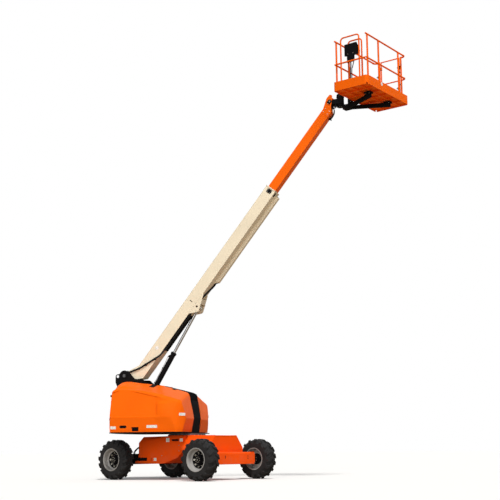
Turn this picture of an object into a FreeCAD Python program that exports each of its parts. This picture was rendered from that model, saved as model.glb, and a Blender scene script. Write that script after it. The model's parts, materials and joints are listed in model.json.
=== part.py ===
"""Telescopic boom lift, 12 m class, four wheels, two-section boom, turning work platform.

Frame: millimetres, X forward (steered axle), Y left, Z up, origin on the ground under the swing axis.
The turntable is drawn straight ahead and turned by SWING, the boom is drawn lying along X from its
pivot and raised by BOOM_ANGLE, and the platform is drawn about its own turning axis.
"""
import FreeCAD, Part
import math
import os

V = FreeCAD.Vector

# ---------------------------------------------------------------- pose
SWING = 23.0
BOOM_ANGLE = 53.0
PLATFORM_TURN = -23.0

# ---------------------------------------------------------------- clearances
FIT = 0.3                # running fit between two bodies
HOOD_GAP = 6.0           # opening panels to fixed ones
PIVOT_CLEAR = 5.0        # each side of the lift cylinder's foot

# ---------------------------------------------------------------- wheels
WHEELBASE = 2440.0
OVERALL_WIDTH = 2310.0
TYRE_RADIUS = 436.0
TYRE_WIDTH = 322.0
TREAD_RADIUS = 408.0     # tread between the lugs
LUGS = 16                # on each half of the tread
LUG_WIDTH = 58.0
LUG_SLANT = 0.5          # along the tread for each step outward
LUG_MIDDLE = 80.0        # where a slanted lug crosses its own centre line
RIM_RADIUS = 240.0
RIM_INSET = 9.0          # rim edge inside the tyre's side
RIM_WALL = 14.0
DISC_DEPTH = 165.0       # rim disc behind the tyre's outer side
DISC_THICK = 16.0
HUB_RADIUS = 118.0
HUB_NOSE_RADIUS = 84.0
HUB_NOSE = 80.0          # hub cover in front of the disc
SPINDLE_RADIUS = 70.0
WHEEL_Y = (OVERALL_WIDTH - TYRE_WIDTH) / 2
WHEEL_INNER = WHEEL_Y - TYRE_WIDTH / 2
DISC_Y = OVERALL_WIDTH / 2 - DISC_DEPTH
HUB_BACK = 66.0          # hub behind the disc
AXLE_X = WHEELBASE / 2

# ---------------------------------------------------------------- axles
BEAM_HALF = 75.0
BEAM_BOTTOM = 330.0
BEAM_TOP = 590.0
KINGPIN_Y = WHEEL_INNER - 43.0
BEAM_END = KINGPIN_Y - 140.0
KINGPIN_RADIUS = 25.0
YOKE_HALF = 50.0
YOKE_THICK = 42.0
KNUCKLE_FLANGE = 92.0
KNUCKLE_FLANGE_OFF = 56.0
KNUCKLE_FLANGE_THICK = 22.0
STEER_ARM = 185.0
STEER_ARM_IN = 40.0
STEER_ARM_Z = 400.0
STEER_ARM_THICK = 24.0
TIE_ROD_RADIUS = 19.0
TIE_EYE_RADIUS = 30.0
TIE_PIN_RADIUS = 12.0
REAR_BEAM_HALF = 105.0
REAR_BEAM_TOP = 560.0
REAR_FLANGE = 118.0
MOTOR_RADIUS = 55.0      # travel motors in front of the rear axle
STEER_BARREL_RADIUS = 38.0
STEER_BARREL_HALF = 260.0

# ---------------------------------------------------------------- chassis
CHASSIS_HALF = 500.0
NOSE_HALF = 595.0        # lower edge of the nose
CORE_HALF = 375.0
CHASSIS_BOTTOM = 345.0
CHASSIS_TOP = 945.0
CHASSIS_REAR = -1109.0
CHASSIS_FRONT = 1110.0
SIDE_TOP = 827.0         # side plates at their rear
SIDE_PLATE = 14.0
NOSE_BOTTOM = 634.0
NOSE_START = 330.0
PIVOT_PIN_Z = 500.0
PIVOT_PIN_RADIUS = 45.0
LUG_REACH = 60.0
LUG_Z = 420.0
LUG_HOLE = 22.0
BEARING_RADIUS = 410.0
BEARING_BORE = 290.0
BEARING_TOP = 1000.0

# ---------------------------------------------------------------- turntable
DECK_THICK = 18.0
DECK_Z = BEARING_TOP + FIT
DECK_TOP = DECK_Z + DECK_THICK
CHEEK_INNER = 238.0
CHEEK_THICK = 16.0
CHEEK_OUTER = CHEEK_INNER + CHEEK_THICK
TAIL = 1440.0            # hoods and cheeks behind the swing axis
NOSE = 250.0             # hoods ahead of the swing axis
HOOD_HALF = 1090.0
WEIGHT_BULGE = 140.0
WEIGHT_TOP = 1700.0
WEIGHT_HALF = 980.0
PIVOT_X = -1420.0
PIVOT_Z = 2300.0
PIVOT_BOSS = 120.0
PIN_RADIUS = 35.0
CYL_PIN_X = -900.0
CYL_PIN_Z = 1800.0
CYL_PIN_RADIUS = 25.0

# ---------------------------------------------------------------- hoods
HOOD_INNER = 275.0
HOOD_WALL = 20.0
HOOD_BOTTOM = DECK_TOP + HOOD_GAP
HOOD_WAIST = 1341.0      # widest line of the side
COVER_TOP = 1722.0       # front cover, under the lowered lift cylinder
HOOD_TUCK = 34.0         # lower edge inside the waist
HOOD_LEAN = 7.9          # side above the waist
HOOD_TOP_REAR = 2140.0   # three heights of the arched top edge
HOOD_TOP_MIDDLE = 2105.0
HOOD_TOP_FRONT = 1890.0
HOOD_MIDDLE_X = -860.0
HOOD_FALL = 0.256        # roof towards the side
HOOD_EDGE = 110.0        # rounding of the roof's edge
RECESS_DEPTH = 22.0
RECESS_FRONT = -384.0
RECESS_BEVEL = 154.0
RECESS_TOP = 1754.0      # at its front end
GROOVE_Z = 1056.0
GROOVE_DEPTH = 8.0
LATCH_X = -840.0
HINGE_RADIUS = 12.0
HINGE_Y = CHEEK_OUTER + FIT + HINGE_RADIUS
HINGE_REAR_X = -1150.0
HINGE_FRONT_X = -500.0
HINGE_DROP = 2.0         # hinge line under the hood's top edge at both hinges
HINGE_LENGTH = 110.0

# ---------------------------------------------------------------- engine bay
BAY_REAR = -1180.0
ENGINE_LENGTH = 760.0
ENGINE_INNER = 330.0
ENGINE_WIDTH = 550.0
ENGINE_TOP = 1640.0
TANK_INNER = 360.0
TANK_WIDTH = 500.0
OIL_TANK_LENGTH = 620.0
FUEL_TANK_LENGTH = 540.0
TANK_SPACE = 100.0
TANK_TOP = 1560.0

# ---------------------------------------------------------------- boom
BASE_START = 200.0
BASE_END = 5405.0
BASE_HALF = 170.0
BASE_TOP = -120.0
BASE_BOTTOM = -370.0
BASE_WALL = 10.0
HEEL_PLATE = 45.0
FLY_START = 2350.0
FLY_END = 7600.0
FLY_HALF = 125.0
FLY_TOP = -145.0
FLY_BOTTOM = -345.0
FLY_WALL = 8.0
ROD_EYE_X = 2236.0
ROD_EYE_Z = -427.0
LUG_THICK = 20.0
LUG_RADIUS = 48.0
BRACKET_PLATE = 20.0     # sides of the bracket round the rod's eye
BRACKET_REAR = 240.0
BRACKET_FRONT = 320.0
BRACKET_DROP = 95.0      # below the rod's eye
TRAY_START = 2870.0
TRAY_END = 5330.0
TRAY_DEPTH = 76.0
TRAY_WIDTH = 110.0
HOSE_RADIUS = 20.0
HOSE_BEND = 160.0
LEVEL_X = FLY_END + 190
LEVEL_Z = -167.0
LEVEL_PIN_RADIUS = 20.0
HEAD_PLATE = 20.0
HEAD_REACH = 153.0       # tip of the head past the level pin

# ---------------------------------------------------------------- lift cylinder
BARREL_RADIUS = 58.0
BARREL_BORE = 46.0
BARREL_LENGTH = 1169.0
BARREL_BOTTOM = 80.0
GLAND = 28.0
CYL_EYE_RADIUS = 52.0
CYL_EYE_HALF = BARREL_RADIUS - 3
ROD_RADIUS = 32.0
ROD_EYE_RADIUS = 45.0
ROD_EYE_HALF = 38.0
PISTON_X = 720.0

# ---------------------------------------------------------------- platform
ROTATOR_REACH = 228.5    # turning axis ahead of the level pin
ROTATOR_RADIUS = 85.0
ROTATOR_HEIGHT = 272.0
SUPPORT_PLATE = 16.0
FLOOR_DROP = 84.0        # underside of the floor below the level pin
DRIVE_DROP = 19.0        # underside of the turning drive below the floor's
FLOOR_THICK = 55.0
FLOOR_PLATE = 15.0       # above the ribs
FLOOR_RIB = 20.0
TOE_HEIGHT = 205.0
TOE_WALL = 12.0
PLATFORM_GAP = 401.5     # turning axis to the platform's near long side
PLATFORM_DEPTH = 857.0
PLATFORM_LENGTH = 1817.0
RAIL_HEIGHT = 1179.0
MID_RAIL = 615.0
RAIL_RADIUS = 18.5
POST_RADIUS = 20.0
RAIL_BEND = 70.0
GUARD_HEIGHT = 1190.0
GUARD_START = 589.0      # console guard from the turning axis
GUARD_WIDTH = 465.0
GUARD_INSET = 215.0      # inner hoop from the outer one
CONSOLE_HEIGHT = 800.0
GATE_WIDTH = 560.0
GATE_RADIUS = 14.0
GATE_HINGE = 44.0        # gate's hinge tube from the post
GATE_EYES = (420.0, 980.0)


# ---------------------------------------------------------------- shapes
def box(x0, x1, y0, y1, z0, z1):
    return Part.makeBox(x1 - x0, y1 - y0, z1 - z0, V(x0, y0, z0))


def cyl_x(r, x0, x1, y, z):
    return Part.makeCylinder(r, x1 - x0, V(x0, y, z), V(1, 0, 0))


def cyl_y(r, y0, y1, x, z):
    return Part.makeCylinder(r, y1 - y0, V(x, y0, z), V(0, 1, 0))


def cyl_z(r, z0, z1, x, y):
    return Part.makeCylinder(r, z1 - z0, V(x, y, z0), V(0, 0, 1))


def prism_y(points, y0, y1):
    """Outline in X and Z, drawn out along Y."""
    ring = [V(x, y0, z) for x, z in points]
    return Part.Face(Part.makePolygon(ring + ring[:1])).extrude(V(0, y1 - y0, 0))


def prism_x(points, x0, x1):
    """Outline in Y and Z, drawn out along X."""
    ring = [V(x0, y, z) for y, z in points]
    return Part.Face(Part.makePolygon(ring + ring[:1])).extrude(V(x1 - x0, 0, 0))


def prism_z(points, z0, z1):
    """Outline in X and Y, drawn out along Z."""
    ring = [V(x, y, z0) for x, y in points]
    return Part.Face(Part.makePolygon(ring + ring[:1])).extrude(V(0, 0, z1 - z0))


def corner(before, at, after, radius):
    """Start, middle and end of the arc that rounds one corner."""
    u = (before - at).normalize()
    w = (after - at).normalize()
    half = u.getAngle(w) / 2
    reach = radius / math.tan(half)
    middle = at + (u + w).normalize() * (radius / math.sin(half) - radius)
    return at + u * reach, middle, at + w * reach


def outline(points, place):
    """Closed face through corner points, where a third value rounds the corner."""
    spots = [place(p[0], p[1]) for p in points]
    bends = []
    for i, p in enumerate(points):
        if len(p) == 2:
            bends.append((spots[i], None, spots[i]))
        else:
            bends.append(corner(spots[i - 1], spots[i], spots[(i + 1) % len(spots)], p[2]))
    edges = []
    for here, after in zip(bends, bends[1:] + bends[:1]):
        if here[1]:
            edges.append(Part.Arc(*here).toShape())
        edges.append(Part.LineSegment(here[2], after[0]).toShape())
    return Part.Face(Part.Wire(edges))


def round_prism_y(points, y0, y1):
    """Outline in X and Z with rounded corners, drawn out along Y."""
    return outline(points, lambda x, z: V(x, y0, z)).extrude(V(0, y1 - y0, 0))


def round_prism_x(points, x0, x1):
    """Outline in Y and Z with rounded corners, drawn out along X."""
    return outline(points, lambda y, z: V(x0, y, z)).extrude(V(x1 - x0, 0, 0))


def round_prism_z(points, z0, z1):
    """Outline in X and Y with rounded corners, drawn out along Z."""
    return outline(points, lambda x, y: V(x, y, z0)).extrude(V(0, 0, z1 - z0))


def tube(points, radius, bend):
    """Round tube along a route whose inner corners are arcs."""
    spots = [V(*p) for p in points]
    edges = []
    last = spots[0]
    for before, at, after in zip(spots, spots[1:], spots[2:]):
        start, middle, end = corner(before, at, after, bend)
        edges.append(Part.LineSegment(last, start).toShape())
        edges.append(Part.Arc(start, middle, end).toShape())
        last = end
    edges.append(Part.LineSegment(last, spots[-1]).toShape())
    profile = Part.Wire(Part.makeCircle(radius, spots[0], spots[1] - spots[0]))
    return Part.Wire(edges).makePipeShell([profile], True, False)


def revolve_y(points, side=1):
    """Outline of radius and Y, turned about the Y axis."""
    ring = [V(r, side * y, 0) for r, y in points]
    face = Part.Face(Part.makePolygon(ring + ring[:1]))
    return face.revolve(V(0, 0, 0), V(0, 1, 0), 360)


def fuse(shapes):
    whole = shapes[0].multiFuse(shapes[1:])
    return whole.removeSplitter()


def mirror(shape):
    return shape.mirror(V(0, 0, 0), V(0, 1, 0))


def moved(shape, x, y, z):
    copy = shape.copy()
    copy.translate(V(x, y, z))
    return copy


def rod(a, b, r):
    """Round bar between two points, with a ball at its end for the next one."""
    step = V(*b) - V(*a)
    bar = Part.makeCylinder(r, step.Length, V(*a), step)
    return bar.fuse(Part.makeSphere(r, V(*b)))


def path(points, r):
    """Round tube along a line of points."""
    bars = [rod(a, b, r) for a, b in zip(points, points[1:])]
    return fuse(bars) if len(bars) > 1 else bars[0]


# ---------------------------------------------------------------- frames
def on_turntable(shape):
    copy = shape.copy()
    copy.rotate(V(0, 0, 0), V(0, 0, 1), SWING)
    return copy


def on_boom(shape):
    copy = shape.copy()
    copy.rotate(V(0, 0, 0), V(0, 1, 0), -BOOM_ANGLE)
    copy.translate(V(PIVOT_X, 0, PIVOT_Z))
    return on_turntable(copy)


def boom_point(x, z):
    """A point of the boom's plane in the turntable's own frame."""
    a = math.radians(BOOM_ANGLE)
    return (PIVOT_X + x * math.cos(a) - z * math.sin(a),
            PIVOT_Z + x * math.sin(a) + z * math.cos(a))


ROD_PIN = boom_point(ROD_EYE_X, ROD_EYE_Z)
CYL_LENGTH = math.hypot(ROD_PIN[0] - CYL_PIN_X, ROD_PIN[1] - CYL_PIN_Z)
CYL_ANGLE = math.degrees(math.atan2(ROD_PIN[1] - CYL_PIN_Z, ROD_PIN[0] - CYL_PIN_X))
LEVEL_PIN = boom_point(LEVEL_X, LEVEL_Z)
FLOOR_Z = LEVEL_PIN[1] - FLOOR_DROP
ROTATOR_X = LEVEL_PIN[0] + ROTATOR_REACH
ROTATOR_BOTTOM = FLOOR_Z - DRIVE_DROP
ROTATOR_TOP = ROTATOR_BOTTOM + ROTATOR_HEIGHT


def on_cylinder(shape):
    copy = shape.copy()
    copy.rotate(V(0, 0, 0), V(0, 1, 0), -CYL_ANGLE)
    copy.translate(V(CYL_PIN_X, 0, CYL_PIN_Z))
    return on_turntable(copy)


def on_platform(shape):
    """Drawn about the turning axis with the long side across X."""
    copy = shape.copy()
    copy.rotate(V(0, 0, 0), V(0, 0, 1), PLATFORM_TURN)
    copy.translate(V(ROTATOR_X, 0, 0))
    return on_turntable(copy)


# ---------------------------------------------------------------- wheels
def polygon_ring(radius, y, sides):
    """Corners of a polygon that stands outside a circle."""
    corner = radius / math.cos(math.pi / sides)
    turns = [2 * math.pi * (i + 0.5) / sides for i in range(sides)]
    return [V(corner * math.cos(a), y, corner * math.sin(a)) for a in turns]


def faceted_ring(section, sides):
    """Ring of flat facets that follows a closed section of radius and Y."""
    rings = [polygon_ring(r, y, sides) for r, y in section]
    faces = []
    for a, b in zip(rings, rings[1:] + rings[:1]):
        for i in range(sides):
            k = (i + 1) % sides
            faces.append(Part.Face(Part.makePolygon([a[i], a[k], b[k], b[i], a[i]])))
    solid = Part.Solid(Part.makeShell(faces))
    if solid.Volume < 0:
        solid.reverse()
    return solid


def tread_lug(half):
    """One slanted block on the half of the tread at positive or negative Y."""
    edge = TYRE_WIDTH / 2
    profile = [(6, TREAD_RADIUS - 12), (6, TYRE_RADIUS - 5), (edge - 58, TYRE_RADIUS - 2),
               (edge - 2, TYRE_RADIUS - 44), (edge - 8, TYRE_RADIUS - 104)]
    ring = [V(LUG_SLANT * (y - LUG_MIDDLE) - LUG_WIDTH / 2, half * y, r) for y, r in profile]
    return Part.Face(Part.makePolygon(ring + ring[:1])).extrude(V(LUG_WIDTH, 0, 0))


def tyre(side):
    edge = TYRE_WIDTH / 2
    section = [(RIM_RADIUS, RIM_INSET - edge), (TYRE_RADIUS - 96, 5 - edge), (TREAD_RADIUS, 64 - edge),
               (TREAD_RADIUS, edge - 64), (TYRE_RADIUS - 96, edge - 5), (RIM_RADIUS, edge - RIM_INSET)]
    lugs = []
    for half, start in ((-1, 0.0), (1, 0.5)):
        lug = tread_lug(half)
        for i in range(LUGS):
            copy = lug.copy()
            copy.rotate(V(0, 0, 0), V(0, 1, 0), 360.0 / LUGS * (i + start))
            lugs.append(copy)
    whole = faceted_ring(section, 2 * LUGS).multiFuse(lugs)
    return moved(whole, 0, side * WHEEL_Y, 0)


def rim(side):
    inner = WHEEL_INNER + RIM_INSET
    outer = OVERALL_WIDTH / 2 - RIM_INSET
    well = RIM_RADIUS - RIM_WALL
    section = [(RIM_RADIUS, inner), (RIM_RADIUS, outer), (well, outer),
               (well - 16, DISC_Y + 60), (HUB_RADIUS, DISC_Y), (HUB_RADIUS, DISC_Y - DISC_THICK),
               (well - 20, DISC_Y - DISC_THICK + 20), (well, inner)]
    return revolve_y(section, side)


def hub(side):
    back = DISC_Y - HUB_BACK
    section = [(0, back), (HUB_RADIUS - 20, back), (HUB_RADIUS, back + 20), (HUB_RADIUS, DISC_Y),
               (HUB_NOSE_RADIUS, DISC_Y + 24), (HUB_NOSE_RADIUS, DISC_Y + HUB_NOSE - 12),
               (HUB_NOSE_RADIUS - 14, DISC_Y + HUB_NOSE), (0, DISC_Y + HUB_NOSE)]
    return revolve_y(section, side)


HUB_FACE = DISC_Y - HUB_BACK
TIE_ROD_Z = STEER_ARM_Z - FIT - TIE_EYE_RADIUS


# ---------------------------------------------------------------- axles
def front_axle():
    beam = round_prism_y([(-BEAM_HALF, BEAM_BOTTOM, 12.0), (BEAM_HALF, BEAM_BOTTOM, 12.0),
                          (BEAM_HALF, BEAM_TOP, 40.0), (-BEAM_HALF, BEAM_TOP, 40.0)], -BEAM_END, BEAM_END)
    yokes = []
    for side in (-1, 1):
        for z0, z1 in ((BEAM_BOTTOM, BEAM_BOTTOM + YOKE_THICK), (BEAM_TOP - YOKE_THICK, BEAM_TOP)):
            y0, y1 = sorted((side * (BEAM_END - 10), side * KINGPIN_Y))
            yokes.append(box(-YOKE_HALF, YOKE_HALF, y0, y1, z0, z1))
            yokes.append(cyl_z(YOKE_HALF, z0, z1, 0, side * KINGPIN_Y))
    pin = cyl_x(PIVOT_PIN_RADIUS, CHASSIS_FRONT - 60 - AXLE_X, BEAM_HALF, 0, PIVOT_PIN_Z)
    whole = fuse([beam, pin] + yokes)
    for side in (-1, 1):
        whole = whole.cut(cyl_z(KINGPIN_RADIUS + FIT, BEAM_BOTTOM - 1, BEAM_TOP + 1, 0, side * KINGPIN_Y))
    return moved(whole, AXLE_X, 0, 0)


def knuckle(side):
    """Carrier between the yokes, with king pin, spindle and steering arm."""
    low = BEAM_BOTTOM + YOKE_THICK + FIT
    high = BEAM_TOP - YOKE_THICK - FIT
    y = KINGPIN_Y
    core = cyl_z(YOKE_HALF, low, high, 0, y)
    pin = cyl_z(KINGPIN_RADIUS, BEAM_BOTTOM - 4, BEAM_TOP + 4, 0, y)
    flange_y = y + KNUCKLE_FLANGE_OFF
    link = box(-YOKE_HALF, YOKE_HALF, y, flange_y + 5, low, high)
    flange = cyl_y(KNUCKLE_FLANGE, flange_y, flange_y + KNUCKLE_FLANGE_THICK, 0, TYRE_RADIUS)
    spindle = cyl_y(SPINDLE_RADIUS, flange_y, HUB_FACE - FIT, 0, TYRE_RADIUS)
    arm_end = (-STEER_ARM, y - STEER_ARM_IN)
    arm = prism_z([(0, y - 40), (0, y + 40), (arm_end[0], arm_end[1] + 26), (arm_end[0], arm_end[1] - 26)],
                  STEER_ARM_Z, STEER_ARM_Z + STEER_ARM_THICK)
    eye = cyl_z(TIE_EYE_RADIUS, STEER_ARM_Z, STEER_ARM_Z + STEER_ARM_THICK, *arm_end)
    nut = cyl_z(TIE_PIN_RADIUS, STEER_ARM_Z, STEER_ARM_Z + STEER_ARM_THICK + 14, *arm_end)
    whole = moved(fuse([core, pin, link, flange, spindle, arm, eye, nut]), AXLE_X, 0, 0)
    return whole if side > 0 else mirror(whole)


def steering_cylinder():
    """Barrel on two brackets behind the beam, with the tie rod sliding through it."""
    x, z = -STEER_ARM, TIE_ROD_Z
    parts = [cyl_y(STEER_BARREL_RADIUS, -STEER_BARREL_HALF, STEER_BARREL_HALF, x, z)]
    for side in (-1, 1):
        y0, y1 = sorted((side * (STEER_BARREL_HALF - 60), side * (STEER_BARREL_HALF - 44)))
        parts.append(box(x, -BEAM_HALF, y0, y1, BEAM_BOTTOM + 12, z + 26))
    whole = fuse(parts)
    bore = cyl_y(TIE_ROD_RADIUS + FIT, -STEER_BARREL_HALF - 1, STEER_BARREL_HALF + 1, x, z)
    return moved(whole.cut(bore), AXLE_X, 0, 0)


def tie_rod():
    y = KINGPIN_Y - STEER_ARM_IN
    z = TIE_ROD_Z
    bar = cyl_y(TIE_ROD_RADIUS, -y, y, -STEER_ARM, z)
    ends = []
    for side in (-1, 1):
        ends.append(cyl_z(TIE_EYE_RADIUS, z - 24, STEER_ARM_Z - FIT, -STEER_ARM, side * y))
    return moved(fuse([bar] + ends), AXLE_X, 0, 0)


def rear_axle():
    top = REAR_BEAM_TOP
    beam = box(-REAR_BEAM_HALF, REAR_BEAM_HALF, -BEAM_END, BEAM_END, BEAM_BOTTOM, top)
    parts = [beam]
    for side in (-1, 1):
        y0, y1 = sorted((side * BEAM_END, side * (KINGPIN_Y + 10)))
        parts.append(cyl_y(REAR_FLANGE, y0, y1, 0, TYRE_RADIUS))
        y0, y1 = sorted((side * BEAM_END, side * (HUB_FACE - FIT)))
        parts.append(cyl_y(SPINDLE_RADIUS, y0, y1, 0, TYRE_RADIUS))
        y0, y1 = sorted((side * (CHASSIS_HALF + 8), side * (BEAM_END - 4)))
        parts.append(cyl_y(MOTOR_RADIUS, y0, y1, REAR_BEAM_HALF + MOTOR_RADIUS - 10, TYRE_RADIUS + 20))
    return moved(fuse(parts), -AXLE_X, 0, 0)


# ---------------------------------------------------------------- chassis
def chassis():
    """Belly between two side plates, a deeper core towards the rear axle and the bearing's seat."""
    foot = CHASSIS_REAR + 100
    side = [(CHASSIS_REAR, CHASSIS_BOTTOM), (CHASSIS_REAR + 10, CHASSIS_BOTTOM + 60, 30.0), (foot, 450, 40.0),
            (foot + 35, SIDE_TOP, 12.0), (-286, 907, 300.0), (60, CHASSIS_TOP), (NOSE_START, CHASSIS_TOP),
            (NOSE_START, NOSE_BOTTOM), (150, 470, 200.0), (-250, CHASSIS_BOTTOM, 600.0)]
    plates = []
    for y0 in (-CHASSIS_HALF, CHASSIS_HALF - SIDE_PLATE):
        plates.append(round_prism_y(side, y0, y0 + SIDE_PLATE))
    step = 30
    belly = [(foot + 60, CHASSIS_BOTTOM + step), (foot + 70, SIDE_TOP - step), (-200, 905 - step),
             (60, CHASSIS_TOP), (NOSE_START, CHASSIS_TOP), (NOSE_START, NOSE_BOTTOM),
             (100, 500), (-250, CHASSIS_BOTTOM + step)]
    fill = prism_y(belly, SIDE_PLATE - CHASSIS_HALF, CHASSIS_HALF - SIDE_PLATE)
    rear = REAR_BEAM_HALF - AXLE_X
    core = prism_y([(rear, BEAM_BOTTOM + 20), (rear, 800), (rear + 150, 932), (60, CHASSIS_TOP),
                    (100, CHASSIS_TOP), (100, 480), (-250, BEAM_BOTTOM + 20)], -CORE_HALF, CORE_HALF)
    seat = cyl_z(BEARING_RADIUS + 20, CHASSIS_TOP, CHASSIS_TOP + 15, 0, 0)
    return fuse(plates + [fill, core, seat])


def chassis_nose():
    """Box that narrows upward, with the tongue that holds the front axle's pivot pin."""
    low = NOSE_BOTTOM + 60
    section = [(-NOSE_HALF, NOSE_BOTTOM), (-NOSE_HALF + 10, low, 60.0), (-CORE_HALF, CHASSIS_TOP, 25.0),
               (CORE_HALF, CHASSIS_TOP, 25.0), (NOSE_HALF - 10, low, 60.0), (NOSE_HALF, NOSE_BOTTOM)]
    bulk = round_prism_x(section, NOSE_START, CHASSIS_FRONT)
    tongue = box(CHASSIS_FRONT - 60, CHASSIS_FRONT, -150, 150, PIVOT_PIN_Z - 90, NOSE_BOTTOM + 20)
    bore = cyl_x(PIVOT_PIN_RADIUS, CHASSIS_FRONT - 60, CHASSIS_FRONT + 1, 0, PIVOT_PIN_Z)
    return bulk.fuse(tongue).cut(bore)


def tie_down_lug():
    """Plate with a shackle hole behind the rear axle."""
    x = -AXLE_X - REAR_BEAM_HALF
    plate = box(x - LUG_REACH, x, -60, 60, LUG_Z, LUG_Z + 25)
    plate = plate.fuse(cyl_z(60, LUG_Z, LUG_Z + 25, x - LUG_REACH, 0))
    return plate.cut(cyl_z(LUG_HOLE, LUG_Z - 1, LUG_Z + 26, x - LUG_REACH, 0))


def swing_bearing():
    ring = cyl_z(BEARING_RADIUS, CHASSIS_TOP + 15, BEARING_TOP, 0, 0)
    return ring.cut(cyl_z(BEARING_BORE, CHASSIS_TOP, BEARING_TOP + 1, 0, 0))


# ---------------------------------------------------------------- turntable
def hood_arc():
    """Centre X, centre Z and radius of the arc that the hoods' inner top edge follows."""
    a = (-TAIL - 60, HOOD_TOP_REAR)
    b = (HOOD_MIDDLE_X, HOOD_TOP_MIDDLE)
    c = (NOSE - 150, HOOD_TOP_FRONT)
    d = 2 * (a[0] * (b[1] - c[1]) + b[0] * (c[1] - a[1]) + c[0] * (a[1] - b[1]))
    sq = [p[0] ** 2 + p[1] ** 2 for p in (a, b, c)]
    x = (sq[0] * (b[1] - c[1]) + sq[1] * (c[1] - a[1]) + sq[2] * (a[1] - b[1])) / d
    z = (sq[0] * (c[0] - b[0]) + sq[1] * (a[0] - c[0]) + sq[2] * (b[0] - a[0])) / d
    return x, z, math.hypot(a[0] - x, a[1] - z)


def hood_top(x):
    """Height of the hoods' inner top edge."""
    cx, cz, r = hood_arc()
    return cz + math.sqrt(r * r - (x - cx) ** 2)


def turntable_frame():
    deck = box(-TAIL, NOSE - 40, -HOOD_HALF + 40, HOOD_HALF - 40, DECK_Z, DECK_TOP)
    deck = deck.fuse(cyl_z(BEARING_RADIUS, DECK_Z, DECK_TOP, 0, 0))
    cheek_line = [(-TAIL, DECK_Z), (-TAIL, WEIGHT_TOP + 20, 60.0), (PIVOT_X - 210, PIVOT_Z - 150, 40.0),
                  (PIVOT_X - 210, PIVOT_Z + 30, 60.0), (PIVOT_X + 120, PIVOT_Z + 72, 90.0),
                  (PIVOT_X + 252, PIVOT_Z - 78, 60.0), (PIVOT_X + 445, PIVOT_Z - 88, 60.0),
                  (PIVOT_X + 540, PIVOT_Z - 182, 60.0), (-560, hood_top(-560) + 12, 300.0),
                  (60, hood_top(60) + 12, 60.0), (NOSE - 100, 1870, 40.0), (NOSE - 10, HOOD_WAIST, 90.0),
                  (NOSE - 50, DECK_Z)]
    parts = [deck]
    for y0, y1 in ((-CHEEK_OUTER, -CHEEK_INNER), (CHEEK_INNER, CHEEK_OUTER)):
        cheek = round_prism_y(cheek_line, y0, y1).fuse(cyl_y(PIVOT_BOSS, y0, y1, PIVOT_X, PIVOT_Z))
        parts.append(cheek)
    parts.append(box(-1560, -1545, -CHEEK_INNER, CHEEK_INNER, 1950, 2140))
    cover = [(NOSE - 66, DECK_Z), (NOSE - 50, DECK_Z), (NOSE - 10, HOOD_WAIST, 90.0), (NOSE - 72, COVER_TOP),
             (NOSE - 88, COVER_TOP), (NOSE - 26, HOOD_WAIST, 74.0)]
    parts.append(round_prism_y(cover, -CHEEK_INNER, CHEEK_INNER))
    whole = fuse(parts)
    whole = whole.cut(cyl_y(PIN_RADIUS, -CHEEK_OUTER - 1, CHEEK_OUTER + 1, PIVOT_X, PIVOT_Z))
    for side in (-1, 1):
        y0, y1 = sorted((side * (BARREL_RADIUS + PIVOT_CLEAR), side * CHEEK_INNER))
        whole = whole.fuse(cyl_y(CYL_EYE_RADIUS, y0, y1, CYL_PIN_X, CYL_PIN_Z))
    return whole.cut(cyl_y(32, -CHEEK_OUTER - 1, CHEEK_OUTER + 1, -1578, 2285))


def boom_pivot_pin():
    return cyl_y(PIN_RADIUS, -CHEEK_OUTER - 12, CHEEK_OUTER + 12, PIVOT_X, PIVOT_Z)


def counterweight():
    r = (WEIGHT_HALF ** 2 + WEIGHT_BULGE ** 2) / (2 * WEIGHT_BULGE)
    arc = cyl_z(r, DECK_Z, WEIGHT_TOP, -TAIL - WEIGHT_BULGE + r, 0)
    block = box(-TAIL - WEIGHT_BULGE - 1, -TAIL, -WEIGHT_HALF, WEIGHT_HALF, DECK_Z, WEIGHT_TOP)
    return block.common(arc)


def engine():
    outer = ENGINE_INNER + ENGINE_WIDTH
    return box(BAY_REAR, BAY_REAR + ENGINE_LENGTH, ENGINE_INNER, outer, DECK_TOP, ENGINE_TOP)


def tanks():
    outer = -TANK_INNER - TANK_WIDTH
    oil_end = BAY_REAR + OIL_TANK_LENGTH
    fuel_start = oil_end + TANK_SPACE
    oil = box(BAY_REAR, oil_end, outer, -TANK_INNER, DECK_TOP, TANK_TOP)
    fuel = box(fuel_start, fuel_start + FUEL_TANK_LENGTH, outer, -TANK_INNER, DECK_TOP, TANK_TOP)
    return Part.makeCompound([oil, fuel])


# ---------------------------------------------------------------- hoods
def side_at(z):
    """Distance of the hood's side from the middle at a height above the waist."""
    return HOOD_HALF - math.tan(math.radians(HOOD_LEAN)) * (z - HOOD_WAIST)


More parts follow.
